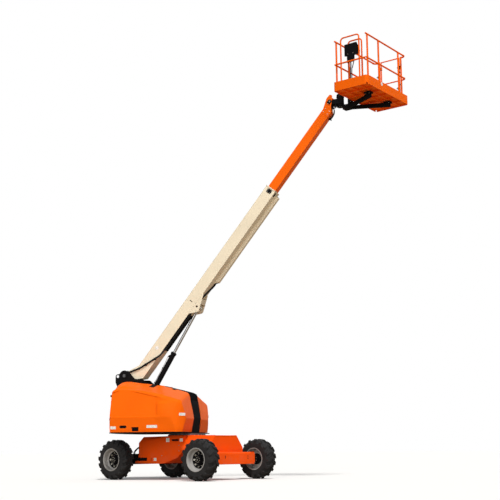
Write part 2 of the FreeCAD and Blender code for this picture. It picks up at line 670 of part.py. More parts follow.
def hood_block(grow):
    """Left hood as a full block, its outer faces moved in by grow."""
    g = grow
    low = HOOD_BOTTOM - 2 * g
    high = HOOD_TOP_REAR + 140
    across = [(HOOD_INNER, low), (HOOD_HALF - HOOD_TUCK - g, low), (HOOD_HALF - g, HOOD_WAIST, 90.0),
              (side_at(high) - g, high), (HOOD_INNER, high)]
    along = [(-TAIL + 16 + g, low), (-TAIL + 6 + g, HOOD_WAIST - 40, 200.0), (-TAIL + 40 + g, high),
             (NOSE - 210 - g, high), (NOSE - 32 - g, HOOD_WAIST + 150, 300.0),
             (NOSE - 3 - g, HOOD_WAIST - 26, 90.0), (NOSE - 58 - g, low)]
    plan = [(-TAIL + g, HOOD_INNER - 2), (-TAIL - 8 + g, HOOD_HALF + 2 - g, 80.0),
            (NOSE - g, HOOD_HALF + 2 - g, 330.0), (NOSE - g, HOOD_INNER - 2)]
    cx, cz, r = hood_arc()
    start = HOOD_INNER - 20
    disc = Part.Face(Part.Wire(Part.makeCircle(r - g, V(cx, start, cz + HOOD_FALL * 20), V(0, 1, 0))))
    roof = disc.extrude(V(0, 1000, -1000 * HOOD_FALL))
    block = round_prism_x(across, -TAIL - 160, NOSE + 150)
    block = block.common(round_prism_y(along, HOOD_INNER, HOOD_HALF + 60))
    return block.common(round_prism_z(plan, HOOD_BOTTOM - 60, high)).common(roof)


def roof_edges(block):
    """Edges round the roof, apart from the one beside the cheek."""
    top = max(block.Faces, key=lambda face: face.CenterOfMass.z)
    return [e for e in top.Edges if max(abs(v.Point.y - HOOD_INNER) for v in e.Vertexes) > 1]


def hood_form(grow):
    block = hood_block(grow)
    return block.makeFillet(HOOD_EDGE - grow, roof_edges(block))


def recess(depth, spread):
    """Outline on the leaning side, its face at a depth and its rims let out by spread."""
    lean = math.radians(HOOD_LEAN)

    def place(x, z):
        rise = z - HOOD_WAIST
        y = HOOD_HALF - math.tan(lean) * rise
        return V(x, y - depth * math.cos(lean), z - depth * math.sin(lean))
    far = -TAIL - 100
    s = spread
    points = [(far, HOOD_WAIST + 24 - s), (far, 1850 + s), (-1330, 1880 + s, 60.0), (-1180, 1961 + s, 80.0),
              (RECESS_FRONT + RECESS_BEVEL / 20 * s, RECESS_TOP + s, 60.0),
              (RECESS_FRONT + RECESS_BEVEL / 20 * s, HOOD_WAIST + 24 - s)]
    return outline(points, place).Wires[0]


def recess_cutter(inward):
    """Block between the recess's floor and its wider rim, moved in from the side."""
    return Part.makeLoft([recess(RECESS_DEPTH + inward, 0), recess(inward - 1, 20)], True, True)


def hood_shell():
    """Left hood, hollow, open below and towards the boom, with a shut line and a latch pocket."""
    form = hood_form(0.0)
    inside = hood_form(HOOD_WALL).cut(recess_cutter(HOOD_WALL))
    shell = form.cut(recess_cutter(0.0)).cut(inside)
    band = box(-TAIL - 60, NOSE + 60, HOOD_INNER + 60, HOOD_HALF + 60, GROOVE_Z, GROOVE_Z + 8)
    shell = shell.cut(band.common(form.cut(hood_form(GROOVE_DEPTH))))
    pocket_y = HOOD_HALF - HOOD_TUCK - 8
    return shell.cut(box(LATCH_X - 80, LATCH_X + 80, pocket_y, HOOD_HALF, GROOVE_Z - 24, GROOVE_Z + 74))


def hinge_point(x):
    """A point of the hinge line of the left hood."""
    za = hood_top(HINGE_REAR_X) - HINGE_DROP
    zb = hood_top(HINGE_FRONT_X) - HINGE_DROP
    return V(x, HINGE_Y, za + (zb - za) * (x - HINGE_REAR_X) / (HINGE_FRONT_X - HINGE_REAR_X))


def hood(side):
    shell = hood_shell()
    for x in (HINGE_REAR_X, HINGE_FRONT_X):
        start = hinge_point(x - HINGE_LENGTH / 2)
        step = hinge_point(x + HINGE_LENGTH / 2) - start
        shell = shell.fuse(Part.makeCylinder(HINGE_RADIUS, step.Length, start, step))
    return shell if side > 0 else mirror(shell)


# ---------------------------------------------------------------- lift cylinder
def barrel():
    body = cyl_x(BARREL_RADIUS, 40, BARREL_LENGTH, 0, 0)
    eye = cyl_y(CYL_EYE_RADIUS, -CYL_EYE_HALF, CYL_EYE_HALF, 0, 0)
    whole = body.fuse(eye)
    whole = whole.cut(cyl_x(BARREL_BORE, BARREL_BOTTOM, BARREL_LENGTH - GLAND, 0, 0))
    whole = whole.cut(cyl_x(ROD_RADIUS + FIT, BARREL_BOTTOM, BARREL_LENGTH + 1, 0, 0))
    return whole.cut(cyl_y(CYL_PIN_RADIUS + FIT, -80, 80, 0, 0))


def piston_rod():
    piston = cyl_x(BARREL_BORE - FIT, PISTON_X, PISTON_X + 60, 0, 0)
    bar = cyl_x(ROD_RADIUS, PISTON_X, CYL_LENGTH - 20, 0, 0)
    eye = cyl_y(ROD_EYE_RADIUS, -ROD_EYE_HALF, ROD_EYE_HALF, CYL_LENGTH, 0)
    whole = fuse([piston, bar, eye])
    return whole.cut(cyl_y(CYL_PIN_RADIUS + FIT, -80, 80, CYL_LENGTH, 0))


# ---------------------------------------------------------------- boom
def rod_bracket():
    """Side plates under the outer section beside the rod's eye, with a web and a foot between them."""
    x, z = ROD_EYE_X, ROD_EYE_Z
    low = z - BRACKET_DROP
    front = BASE_BOTTOM - 15
    side = [(x - BRACKET_REAR, BASE_BOTTOM + 5), (x - 120, z - 60, 50.0), (x - 75, low, 25.0),
            (x - 40, low, 15.0), (x + BRACKET_FRONT, front, 10.0), (x + BRACKET_FRONT, BASE_BOTTOM + 5)]
    slope = (front - low) / (BRACKET_FRONT + 40)
    inner = BASE_HALF - BRACKET_PLATE
    parts = []
    for y0, y1 in ((-BASE_HALF, -inner), (inner, BASE_HALF)):
        parts.append(round_prism_y(side, y0, y1))
    web = [(t, low + slope * (t - x + 40)) for t in (x + 100, x + 205)]
    parts.append(prism_y(web + [(t, h + 10) for t, h in reversed(web)], -inner - 1, inner + 1))
    parts.append(box(x - 70, x - 35, -inner - 1, inner + 1, low, low + 10))
    return fuse(parts)


def boom_base():
    tube = box(BASE_START, BASE_END, -BASE_HALF, BASE_HALF, BASE_BOTTOM, BASE_TOP)
    parts = [tube]
    heel = [(-50, 100, 40.0), (385, BASE_TOP), (385, BASE_BOTTOM), (BASE_START, BASE_BOTTOM, 60.0),
            (-98, -50, 40.0)]
    for side in (-1, 1):
        y0, y1 = sorted((side * BASE_HALF, side * (BASE_HALF - HEEL_PLATE)))
        parts.append(round_prism_y(heel, y0, y1))
        parts.append(cyl_y(PIVOT_BOSS - 8, y0, y1, 0, 0))
        y0, y1 = sorted((side * (ROD_EYE_HALF + 4), side * (ROD_EYE_HALF + 4 + LUG_THICK)))
        parts.append(cyl_y(LUG_RADIUS, y0, y1, ROD_EYE_X, ROD_EYE_Z))
        parts.append(box(ROD_EYE_X - 110, ROD_EYE_X + 110, y0, y1, BASE_BOTTOM - 20, BASE_BOTTOM + 5))
        parts.append(prism_y([(ROD_EYE_X - 110, BASE_BOTTOM - 20), (ROD_EYE_X - 40, ROD_EYE_Z - 25),
                              (ROD_EYE_X + 40, ROD_EYE_Z - 25), (ROD_EYE_X + 110, BASE_BOTTOM - 20)], y0, y1))
    parts.append(rod_bracket())
    whole = fuse(parts)
    whole = whole.cut(box(BASE_START + 190, BASE_END + 1, -BASE_HALF + BASE_WALL, BASE_HALF - BASE_WALL,
                          BASE_BOTTOM + BASE_WALL, BASE_TOP - BASE_WALL))
    whole = whole.cut(cyl_y(PIN_RADIUS + FIT, -BASE_HALF - 1, BASE_HALF + 1, 0, 0))
    return whole.cut(cyl_y(CYL_PIN_RADIUS, -BASE_HALF, BASE_HALF, ROD_EYE_X, ROD_EYE_Z))


def rod_pin():
    half = ROD_EYE_HALF + LUG_THICK + 12
    return cyl_y(CYL_PIN_RADIUS, -half, half, ROD_EYE_X, ROD_EYE_Z)


def hose_tray():
    """Open-ended channel under the outer section, cut on the slant at its lower end."""
    y1 = BASE_HALF
    y0 = y1 - TRAY_WIDTH
    low = BASE_BOTTOM - TRAY_DEPTH
    side = [(TRAY_START, BASE_BOTTOM), (TRAY_START + 90, low), (TRAY_END, low), (TRAY_END, BASE_BOTTOM)]
    tray = prism_y(side, y0, y1)
    return tray.cut(box(TRAY_START - 1, TRAY_END + 1, y0 + 5, y1 - 5, low + 5, BASE_BOTTOM + 1))


def boom_hose():
    """Sleeved hoses from the heel, down the side and under the section into the tray."""
    y = -BASE_HALF - FIT - HOSE_RADIUS
    under = BASE_BOTTOM - FIT - HOSE_RADIUS
    into = BASE_HALF - TRAY_WIDTH / 2
    route = [(110, y, -20), (330, y, -170), (840, y, under), (1060, -110, under), (2420, -110, under),
             (TRAY_START - 60, into, under), (TRAY_START + 160, into, under)]
    fitting = box(70, 130, y - 24, -BASE_HALF, -50, 20)
    print("boom_hose: radius", HOSE_RADIUS, "mm, bends", [HOSE_BEND] * (len(route) - 2), "mm")
    return tube(route, HOSE_RADIUS, HOSE_BEND).fuse(fitting)


def wear_pads():
    """Slide pads in the mouth of the outer section."""
    x0, x1 = BASE_END - 150, BASE_END - 10
    pads = []
    inner = BASE_HALF - BASE_WALL
    for side in (-1, 1):
        y0, y1 = sorted((side * inner, side * (FLY_HALF + FIT)))
        pads.append(box(x0, x1, y0, y1, FLY_BOTTOM + 40, FLY_TOP - 40))
        pads.append(box(x0, x1, side * 70 - 40, side * 70 + 40, BASE_BOTTOM + BASE_WALL, FLY_BOTTOM - FIT))
        pads.append(box(x0, x1, side * 70 - 40, side * 70 + 40, FLY_TOP + FIT, BASE_TOP - BASE_WALL))
    return Part.makeCompound(pads)


def boom_fly():
    tube = box(FLY_START, FLY_END, -FLY_HALF, FLY_HALF, FLY_BOTTOM, FLY_TOP)
    hollow = box(FLY_START - 1, FLY_END + 1, -FLY_HALF + FLY_WALL, FLY_HALF - FLY_WALL,
                 FLY_BOTTOM + FLY_WALL, FLY_TOP - FLY_WALL)
    tube = tube.cut(hollow)
    tip = LEVEL_X + HEAD_REACH
    head = [(FLY_END - 140, FLY_BOTTOM), (FLY_END + 17, FLY_BOTTOM, 30.0), (tip - 243, LEVEL_Z - 103, 60.0),
            (tip, LEVEL_Z + 35, 30.0), (tip - 18, LEVEL_Z + 94, 20.0), (tip - 131, LEVEL_Z + 103, 30.0),
            (FLY_END - 33, FLY_TOP, 30.0), (FLY_END - 140, FLY_TOP)]
    parts = [tube]
    for side in (-1, 1):
        y0, y1 = sorted((side * FLY_HALF, side * (FLY_HALF - HEAD_PLATE)))
        parts.append(round_prism_y(head, y0, y1))
    whole = fuse(parts)
    return whole.cut(cyl_y(LEVEL_PIN_RADIUS, -FLY_HALF - 1, FLY_HALF + 1, LEVEL_X, LEVEL_Z))


def level_pin():
    return cyl_y(LEVEL_PIN_RADIUS, -FLY_HALF - 10, FLY_HALF + 10, LEVEL_X, LEVEL_Z)


# ---------------------------------------------------------------- platform
def rotator():
    """Bracket on the boom's head and the upright turning drive, in the turntable's frame."""
    x, z = LEVEL_PIN
    half = FLY_HALF - HEAD_PLATE - 5
    boss = cyl_y(60, -half, half, x, z)
    web = box(x, ROTATOR_X - 20, -half, half, z - 55, z + 55)
    drive = cyl_z(ROTATOR_RADIUS, ROTATOR_BOTTOM, ROTATOR_TOP, ROTATOR_X, 0)
    whole = fuse([boss, web, drive])
    return whole.cut(cyl_y(LEVEL_PIN_RADIUS + FIT, -half - 1, half + 1, x, z))


def platform_clamp():
    """Plates over and under the turning drive, joined behind it."""
    low = ROTATOR_BOTTOM - FIT - SUPPORT_PLATE
    top = ROTATOR_TOP + FIT
    near = PLATFORM_GAP - 100
    return fuse([box(0, near, -75, 75, low, low + SUPPORT_PLATE),
                 cyl_z(75, low, low + SUPPORT_PLATE, 0, 0),
                 box(0, near, -75, 75, top, top + SUPPORT_PLATE),
                 cyl_z(75, top, top + SUPPORT_PLATE, 0, 0),
                 box(near - 60, near, -75, 75, low, top + SUPPORT_PLATE)])


def platform_arms():
    """Foot below the clamp and two arms that spread under the floor."""
    top = ROTATOR_BOTTOM - FIT - SUPPORT_PLATE
    near = PLATFORM_GAP - 100
    parts = [box(near - 200, near, -75, 75, top - 90, top)]
    end_x = PLATFORM_GAP + PLATFORM_DEPTH * 0.75
    for side in (-1, 1):
        end_y = side * 420
        parts.append(prism_z([(near - 60, side * 10), (near - 20, side * 75), (end_x, end_y + side * 45),
                              (end_x, end_y - side * 45)], top - 90, FLOOR_Z - 40))
        parts.append(box(end_x - 130, end_x + 30, end_y - 60, end_y + 60, FLOOR_Z - 45, FLOOR_Z))
    return fuse(parts)


def platform_floor():
    """Tray with toe boards, on a grid of ribs."""
    x0, x1 = PLATFORM_GAP, PLATFORM_GAP + PLATFORM_DEPTH
    y = PLATFORM_LENGTH / 2
    corners = [(x0, -y, 40.0), (x1, -y, 80.0), (x1, y, 60.0), (x0, y, 60.0)]
    tray = round_prism_z(corners, FLOOR_Z, FLOOR_Z + TOE_HEIGHT)
    w = TOE_WALL
    inner = [(x0 + w, w - y, 40 - w), (x1 - w, w - y, 80 - w),
             (x1 - w, y - w, 60 - w), (x0 + w, y - w, 60 - w)]
    tray = tray.cut(round_prism_z(inner, FLOOR_Z + FLOOR_THICK, FLOOR_Z + TOE_HEIGHT + 1))
    rows, columns = 4, 6
    dx = PLATFORM_DEPTH / rows
    dy = PLATFORM_LENGTH / columns
    half = FLOOR_RIB / 2
    for i in range(rows):
        for k in range(columns):
            px, py = x0 + i * dx, k * dy - y
            tray = tray.cut(box(px + half, px + dx - half, py + half, py + dy - half,
                                FLOOR_Z - 1, FLOOR_Z + FLOOR_THICK - FLOOR_PLATE))
    return tray


def rail_frame(start, end, posts, levels=(MID_RAIL, RAIL_HEIGHT - RAIL_RADIUS)):
    """Rails with round ends at each level, on posts at the given points."""
    bars = []
    for z in levels:
        bars.append(rod((*start, FLOOR_Z + z), (*end, FLOOR_Z + z), RAIL_RADIUS))
        bars.append(Part.makeSphere(RAIL_RADIUS, V(*start, FLOOR_Z + z)))
    for x, y in posts:
        bars.append(cyl_z(POST_RADIUS, FLOOR_Z + FLOOR_THICK, FLOOR_Z + RAIL_HEIGHT - RAIL_RADIUS, x, y))
    return fuse(bars)


def bent_frame(points, post):
    """Short rails round a corner at both levels, on one post."""
    bars = []
    for z in (MID_RAIL, RAIL_HEIGHT - RAIL_RADIUS):
        bars.append(tube([(x, y, FLOOR_Z + z) for x, y in points], RAIL_RADIUS, RAIL_BEND))
    bars.append(cyl_z(POST_RADIUS, FLOOR_Z + FLOOR_THICK, FLOOR_Z + RAIL_HEIGHT, *post))
    return fuse(bars)


RAIL_IN = TOE_WALL + POST_RADIUS + 1
RAIL_X0 = PLATFORM_GAP + RAIL_IN
RAIL_X1 = PLATFORM_GAP + PLATFORM_DEPTH - RAIL_IN
RAIL_Y = PLATFORM_LENGTH / 2 - RAIL_IN
GATE_X0 = RAIL_X0 + 120
GATE_X1 = GATE_X0 + GATE_WIDTH
JOINT = 2 * RAIL_RADIUS + FIT


def rails_front():
    end = RAIL_Y - RAIL_BEND - RAIL_RADIUS - 1 - FIT
    posts = [(RAIL_X1, -RAIL_Y + 60), (RAIL_X1, -0.39 * RAIL_Y), (RAIL_X1, 0.62 * RAIL_Y)]
    return rail_frame((RAIL_X1, -RAIL_Y), (RAIL_X1, end), posts)


def rails_rear():
    end = RAIL_Y - RAIL_BEND - RAIL_RADIUS - 1 - FIT
    posts = [(RAIL_X0, -RAIL_Y + 60), (RAIL_X0, -0.33 * RAIL_Y), (RAIL_X0, 0.33 * RAIL_Y)]
    return rail_frame((RAIL_X0, -RAIL_Y), (RAIL_X0, end), posts)


def rails_gate_end():
    """Two frames that bend round the corners beside the gate, with the eyes that the gate turns in."""
    turn = RAIL_Y - RAIL_BEND
    near = bent_frame([(RAIL_X0, turn - 1), (RAIL_X0, RAIL_Y), (GATE_X0, RAIL_Y)], (GATE_X0, RAIL_Y))
    far = bent_frame([(GATE_X1, RAIL_Y), (RAIL_X1, RAIL_Y), (RAIL_X1, turn - 1)], (GATE_X1, RAIL_Y))
    hinge = GATE_X0 + GATE_HINGE
    for z in GATE_EYES:
        low, high = FLOOR_Z + z, FLOOR_Z + z + 40
        ear = box(GATE_X0, hinge, RAIL_Y - 14, RAIL_Y + 14, low, high)
        near = near.fuse(ear).fuse(cyl_z(GATE_RADIUS + 8, low, high, hinge, RAIL_Y))
        near = near.cut(cyl_z(GATE_RADIUS + FIT, low - 1, high + 1, hinge, RAIL_Y))
    return Part.makeCompound([near, far])


def hoop(x0, x1, y, low, high):
    """Tube that stands on two legs, with round corners at the top."""
    return tube([(x0, y, low), (x0, y, high), (x1, y, high), (x1, y, low)], RAIL_RADIUS - 2, RAIL_BEND)


def rails_console_end():
    """Mid rail and the outer hoop of the console's guard."""
    end = (RAIL_X1 - JOINT, -RAIL_Y)
    mid = rail_frame((RAIL_X0 + JOINT, -RAIL_Y), end, [], levels=(MID_RAIL,))
    x1 = GUARD_START + GUARD_WIDTH
    return fuse([mid, hoop(GUARD_START, x1, -RAIL_Y, FLOOR_Z + FLOOR_THICK, FLOOR_Z + GUARD_HEIGHT)])


def console_guard():
    """Inner hoop over the console, standing on the floor."""
    x1 = GUARD_START + GUARD_WIDTH - 60
    y = GUARD_INSET - RAIL_Y
    return hoop(GUARD_START + 60, x1, y, FLOOR_Z + FLOOR_THICK, FLOOR_Z + GUARD_HEIGHT - 20)


def platform_gate():
    a = GATE_X0 + GATE_HINGE
    b = GATE_X1 - GATE_HINGE
    low = FLOOR_Z + 330
    high = FLOOR_Z + RAIL_HEIGHT - RAIL_RADIUS
    r = GATE_RADIUS
    y = RAIL_Y
    frame = path([(a, y, low), (b, y, low), (b, y, high), (a, y, high), (a, y, low)], r)
    mid = rod((a, y, FLOOR_Z + MID_RAIL), (b, y, FLOOR_Z + MID_RAIL), r)
    return fuse([frame, mid])


def control_console():
    """Box with a sloping face on a back plate between the guard's legs."""
    x0, x1 = GUARD_START + 80, GUARD_START + GUARD_WIDTH - 80
    y = -RAIL_Y + RAIL_RADIUS + FIT
    z = FLOOR_Z + CONSOLE_HEIGHT
    case = round_prism_x([(y, z - 40), (y + 150, z, 20.0), (y + 160, z + 90, 20.0), (y + 20, z + 230, 30.0),
                          (y, z + 230)], x0, x1)
    plate = box(x0 + 60, x1 - 60, y, y + 8, FLOOR_Z + MID_RAIL - RAIL_RADIUS, z + 200)
    return case.fuse(plate)


# ---------------------------------------------------------------- all nodes
def wheel_nodes():
    nodes = {}
    for end, x in (("front", AXLE_X), ("rear", -AXLE_X)):
        for hand, side in (("left", 1), ("right", -1)):
            for name, make in (("tyre", tyre), ("rim", rim), ("hub", hub)):
                nodes[f"{name}_{end}_{hand}"] = moved(make(side), x, 0, TYRE_RADIUS)
    return nodes


def all_nodes():
    nodes = {
        "chassis_frame": chassis(),
        "chassis_nose": chassis_nose(),
        "tie_down_lug": tie_down_lug(),
        "front_axle_beam": front_axle(),
        "steering_cylinder": steering_cylinder(),
        "rear_drive_axle": rear_axle(),
        "knuckle_left": knuckle(1),
        "knuckle_right": knuckle(-1),
        "tie_rod": tie_rod(),
        "swing_bearing": swing_bearing(),
        "turntable_frame": on_turntable(turntable_frame()),
        "boom_pivot_pin": on_turntable(boom_pivot_pin()),
        "counterweight": on_turntable(counterweight()),
        "engine_block": on_turntable(engine()),
        "tanks": on_turntable(tanks()),
        "hood_left": on_turntable(hood(1)),
        "hood_right": on_turntable(hood(-1)),
        "lift_cylinder_barrel": on_cylinder(barrel()),
        "lift_cylinder_rod": on_cylinder(piston_rod()),
        "boom_base": on_boom(boom_base()),
        "lift_rod_pin": on_boom(rod_pin()),
        "boom_hose_tray": on_boom(hose_tray()),
        "boom_hose": on_boom(boom_hose()),
        "boom_wear_pads": on_boom(wear_pads()),
        "boom_fly": on_boom(boom_fly()),
        "level_pin": on_boom(level_pin()),
        "platform_rotator": on_turntable(rotator()),
        "platform_clamp": on_platform(platform_clamp()),
        "platform_arms": on_platform(platform_arms()),
        "platform_floor": on_platform(platform_floor()),
        "rails_front": on_platform(rails_front()),
        "rails_rear": on_platform(rails_rear()),
        "rails_gate_end": on_platform(rails_gate_end()),
        "rails_console_end": on_platform(rails_console_end()),
        "platform_gate": on_platform(platform_gate()),
        "console_guard": on_platform(console_guard()),
        "control_console": on_platform(control_console()),
    }
    nodes.update(wheel_nodes())
    return nodes


os.makedirs("parts", exist_ok=True)
for node, shape in all_nodes().items():
    if not shape.isValid() or shape.Volume <= 0:
        print("invalid", node, shape.ShapeType, shape.Volume)
    shape.exportStep(f"parts/{node}.step")
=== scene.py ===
import json
import math
import random

import bmesh
import bpy
from mathutils import Euler, Matrix, Vector


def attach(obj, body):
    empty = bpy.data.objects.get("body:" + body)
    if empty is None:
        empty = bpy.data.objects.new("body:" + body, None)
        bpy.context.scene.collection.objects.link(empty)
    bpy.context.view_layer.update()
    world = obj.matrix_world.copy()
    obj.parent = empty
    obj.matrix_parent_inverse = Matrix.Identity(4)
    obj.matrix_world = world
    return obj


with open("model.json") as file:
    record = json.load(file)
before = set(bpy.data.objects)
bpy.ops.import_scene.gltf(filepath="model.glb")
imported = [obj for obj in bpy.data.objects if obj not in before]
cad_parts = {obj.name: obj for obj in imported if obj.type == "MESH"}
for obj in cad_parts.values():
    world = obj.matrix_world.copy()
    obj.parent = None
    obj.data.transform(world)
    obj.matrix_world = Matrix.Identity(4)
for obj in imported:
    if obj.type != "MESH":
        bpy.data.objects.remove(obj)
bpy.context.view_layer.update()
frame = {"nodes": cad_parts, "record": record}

# ---------------------------------------------------------------- frames
# Each frame is a matrix from local metres to the row frame, read from the record's joints.
JOINTS = {j["name"]: j for j in frame["record"]["behaviour"]["joints"]}
SLOTS = {s["node"]: s["material_slot"] for s in frame["record"]["subparts"]}
X, Y, Z = Vector((1, 0, 0)), Vector((0, 1, 0)), Vector((0, 0, 1))
random.seed(7)


def pivot(joint):
    return Vector(JOINTS[joint]["pos_m"])


def axis(joint):
    return Vector(JOINTS[joint]["axis"])


def cylinder_frame():
    """Origin at the lift rod's eye, X down the cylinder, Y across the boom."""
    along = axis("lift_rod_slide").normalized()
    across = -axis("boom_lift").normalized()
    m = Matrix((along, across, along.cross(across))).transposed().to_4x4()
    return Matrix.Translation(pivot("lift_rod_hinge")) @ m


SWING = math.atan2(axis("boom_lift").x, -axis("boom_lift").y)
RAISED = math.asin(axis("boom_telescope").z)
ROW = Matrix.Identity(4)
TURN = Matrix.Rotation(SWING, 4, "Z")
BOOM = Matrix.Translation(pivot("boom_lift")) @ TURN @ Matrix.Rotation(-RAISED, 4, "Y")
PLAT = Matrix.Translation(Vector((pivot("platform_turn").x, pivot("platform_turn").y, 0)))
CYL = cylinder_frame()
# frame in which the pieces of a body are drawn, the row frame where none is given
FRAMES = {"turntable": TURN, "left_hood": TURN, "right_hood": TURN, "level_head": TURN, "boom_outer": BOOM,
        "boom_inner": BOOM, "lift_barrel": CYL, "lift_rod": CYL, "platform": PLAT, "gate": PLAT}
SIDES = (-1, 1)
LABEL = 0.0012  # thickness of a blank label or plate
FINE, FINEST = 0.0004, 0.0003  # bevels of small hardware
BEYOND = 0.3  # start of a ray outside the part
STEER_ARM = 0.185  # from the king pins back to the steering cylinder and the tie rod


def span(node, place=ROW):
    """Lowest and highest corner of a CAD node in a frame."""
    obj = frame["nodes"][node]
    back = place.inverted() @ obj.matrix_world
    points = [back @ v.co for v in obj.data.vertices]
    return (Vector([min(p[i] for p in points) for i in range(3)]),
            Vector([max(p[i] for p in points) for i in range(3)]))


def touch(node, place, start, way):
    """Point and outward direction where a ray drawn in a frame meets a CAD node."""
    obj = frame["nodes"][node]
    to_node = obj.matrix_world.inverted() @ place
    begin = to_node @ Vector(start)
    hit, point, normal, _ = obj.ray_cast(begin, (to_node.to_3x3() @ Vector(way)).normalized())
    if not hit:
        raise ValueError(f"nothing of {node} at {tuple(start)}")
    back = to_node.inverted()
    out = (back.to_3x3() @ normal).normalized()
    if out.dot(Vector(way)) > 0:
        out = -out
    return back @ point, out


# ---------------------------------------------------------------- camera
EYE = (15.2575, -17.7065, 0.6496)
YAW, PITCH, ROLL = 37.24, 10.96, -0.36
SENSOR, LENS, FARTHEST = 36.0, 74.0, 200.0


def look():
    """Camera of the photo, from its place and its three angles in degrees."""
    yaw, pitch, roll = (math.radians(a) for a in (YAW, PITCH, ROLL))
    fwd = Vector((-math.sin(yaw) * math.cos(pitch), math.cos(yaw) * math.cos(pitch), math.sin(pitch)))
    right = Vector((math.cos(yaw), math.sin(yaw), 0.0))
    up = right.cross(fwd)
    right_rolled = right * math.cos(roll) + up * math.sin(roll)
    up_rolled = up * math.cos(roll) - right * math.sin(roll)
    data = bpy.data.cameras.new("camera")
    data.sensor_width = SENSOR
    data.sensor_fit = "HORIZONTAL"
    data.lens = LENS
    data.clip_end = FARTHEST
    cam = bpy.data.objects.new("camera", data)
    bpy.context.scene.collection.objects.link(cam)
    m = Matrix((right_rolled, up_rolled, -fwd)).transposed().to_4x4()
    m.translation = Vector(EYE)
    cam.matrix_world = m
    bpy.context.scene.camera = cam


# ---------------------------------------------------------------- materials
class Mat:
    """Node helper around one material."""

    def __init__(self, name):
        self.m = bpy.data.materials.new(name)
        self.m.use_nodes = True
        self.t = self.m.node_tree
        self.b = self.t.nodes["Principled BSDF"]
        self.co = self.t.nodes.new("ShaderNodeTexCoord").outputs["Object"]

    def node(self, kind, **inputs):
        n = self.t.nodes.new(kind)
        for key, value in inputs.items():
            n.inputs[key.replace("_", " ")].default_value = value
        return n

    def link(self, a, b):
        self.t.links.new(a, b)

    def noise(self, scale, detail=4.0, rough=0.55, squash=None):
        n = self.node("ShaderNodeTexNoise", Scale=scale, Detail=detail, Roughness=rough)
        src = self.co
        if squash:
            mp = self.t.nodes.new("ShaderNodeMapping")
            mp.inputs["Scale"].default_value = squash
            self.link(src, mp.inputs["Vector"])
            src = mp.outputs["Vector"]
        self.link(src, n.inputs["Vector"])
        return n.outputs["Fac"]

    def ramp(self, src, stops):
        n = self.t.nodes.new("ShaderNodeValToRGB")
        e = n.color_ramp.elements
        while len(e) < len(stops):
            e.new(0.5)
        for i, (p, c) in enumerate(stops):
            e[i].position = p
            e[i].color = (*c, 1.0)
        self.link(src, n.inputs["Fac"])
        return n.outputs["Color"]

    def span(self, src, lo, hi, a=0.0, b=1.0):
        n = self.t.nodes.new("ShaderNodeMapRange")
        for k, v in zip(("From Min", "From Max", "To Min", "To Max"), (lo, hi, a, b)):
            n.inputs[k].default_value = v
        self.link(src, n.inputs["Value"])
        return n.outputs["Result"]

    def height(self):
        """Height of the surface in the piece's own frame."""
        n = self.t.nodes.new("ShaderNodeSeparateXYZ")
        self.link(self.co, n.inputs["Vector"])
        return n.outputs["Z"]

    def put(self, value, socket):
        """Number or colour as the default of a socket, anything else as a link to it."""
        if isinstance(value, float):
            socket.default_value = value
        elif isinstance(value, tuple):
            socket.default_value = (*value, 1.0)
        else:
            self.link(value, socket)

    def times(self, a, b):
        n = self.t.nodes.new("ShaderNodeMath")
        n.operation = "MULTIPLY"
        self.put(a, n.inputs[0])
        self.put(b, n.inputs[1])
        return n.outputs[0]

    def mix(self, fac, a, b):
        n = self.t.nodes.new("ShaderNodeMix")
        n.data_type = "RGBA"
        for i, v in ((0, fac), (6, a), (7, b)):
            self.put(v, n.inputs[i])
        return n.outputs[2]

    def bump(self, src, strength, distance):
        n = self.node("ShaderNodeBump", Strength=strength, Distance=distance)
        self.link(src, n.inputs["Height"])
        self.link(n.outputs["Normal"], self.b.inputs["Normal"])

    def set(self, **values):
        for key, value in values.items():
            self.b.inputs[key.replace("_", " ")].default_value = value


def shade(c, k):
    return tuple(min(1.0, v * k) for v in c)


DUST = (0.30, 0.26, 0.21)


def paint(name, color, rough=0.34, dirt=0.3, peel=0.2, dust=None, level=0.02):
    """Sprayed paint: slow drift in colour, specks of dust and a little orange peel."""
    m = Mat(name)
    big = m.noise(1.3, 5.0)
    fine = m.noise(34.0, 4.0, 0.65)
    base = m.ramp(big, [(0.3, shade(color, 0.93)), (0.7, shade(color, 1.04))])
    dusty = tuple(0.6 * v + 0.4 * g for v, g in zip(color, DUST))
    base = m.mix(m.span(fine, 0.56, 0.78, 0.0, dirt), base, dusty)
    if dust:
        low = m.times(m.span(m.height(), dust, 0.0, 0.0, 0.25), m.span(m.noise(7.0, 6.0, 0.7), 0.4, 0.7))
        base = m.mix(low, base, DUST)
    m.link(base, m.b.inputs["Base Color"])
    m.link(m.span(fine, 0.3, 0.75, rough - 0.04, rough + 0.18), m.b.inputs["Roughness"])
    m.bump(m.noise(240.0, 2.0), peel, 0.0006)
    m.set(Specular_IOR_Level=level)
    return m.m


def metal(name, color, rough=0.35, grain=(1.0, 1.0, 40.0), spread=0.15):
    """Drawn or plated metal with a fine grain one way."""
    m = Mat(name)
    n = m.noise(30.0, 3.0, squash=grain)
    m.link(m.ramp(n, [(0.25, shade(color, 1 - spread)), (0.8, shade(color, 1 + spread))]),
            m.b.inputs["Base Color"])
    m.link(m.span(n, 0.2, 0.8, rough - 0.08, rough + 0.15), m.b.inputs["Roughness"])
    m.bump(n, 0.12, 0.0008)
    m.set(Metallic=1.0)
    return m.m


def plain(name, color, rough=0.6, scale=60.0, depth=0.2, level=0.4):
    """Moulded plastic, rubber or casting with a fine grain."""
    m = Mat(name)
    n = m.noise(scale, 4.0)
    m.link(m.ramp(n, [(0.3, shade(color, 0.8)), (0.75, shade(color, 1.25))]), m.b.inputs["Base Color"])
    m.link(m.span(n, 0.2, 0.8, rough - 0.1, min(1.0, rough + 0.15)), m.b.inputs["Roughness"])
    m.bump(m.noise(scale * 6.0, 2.0), depth, 0.001)
    m.set(Specular_IOR_Level=level)
    return m.m


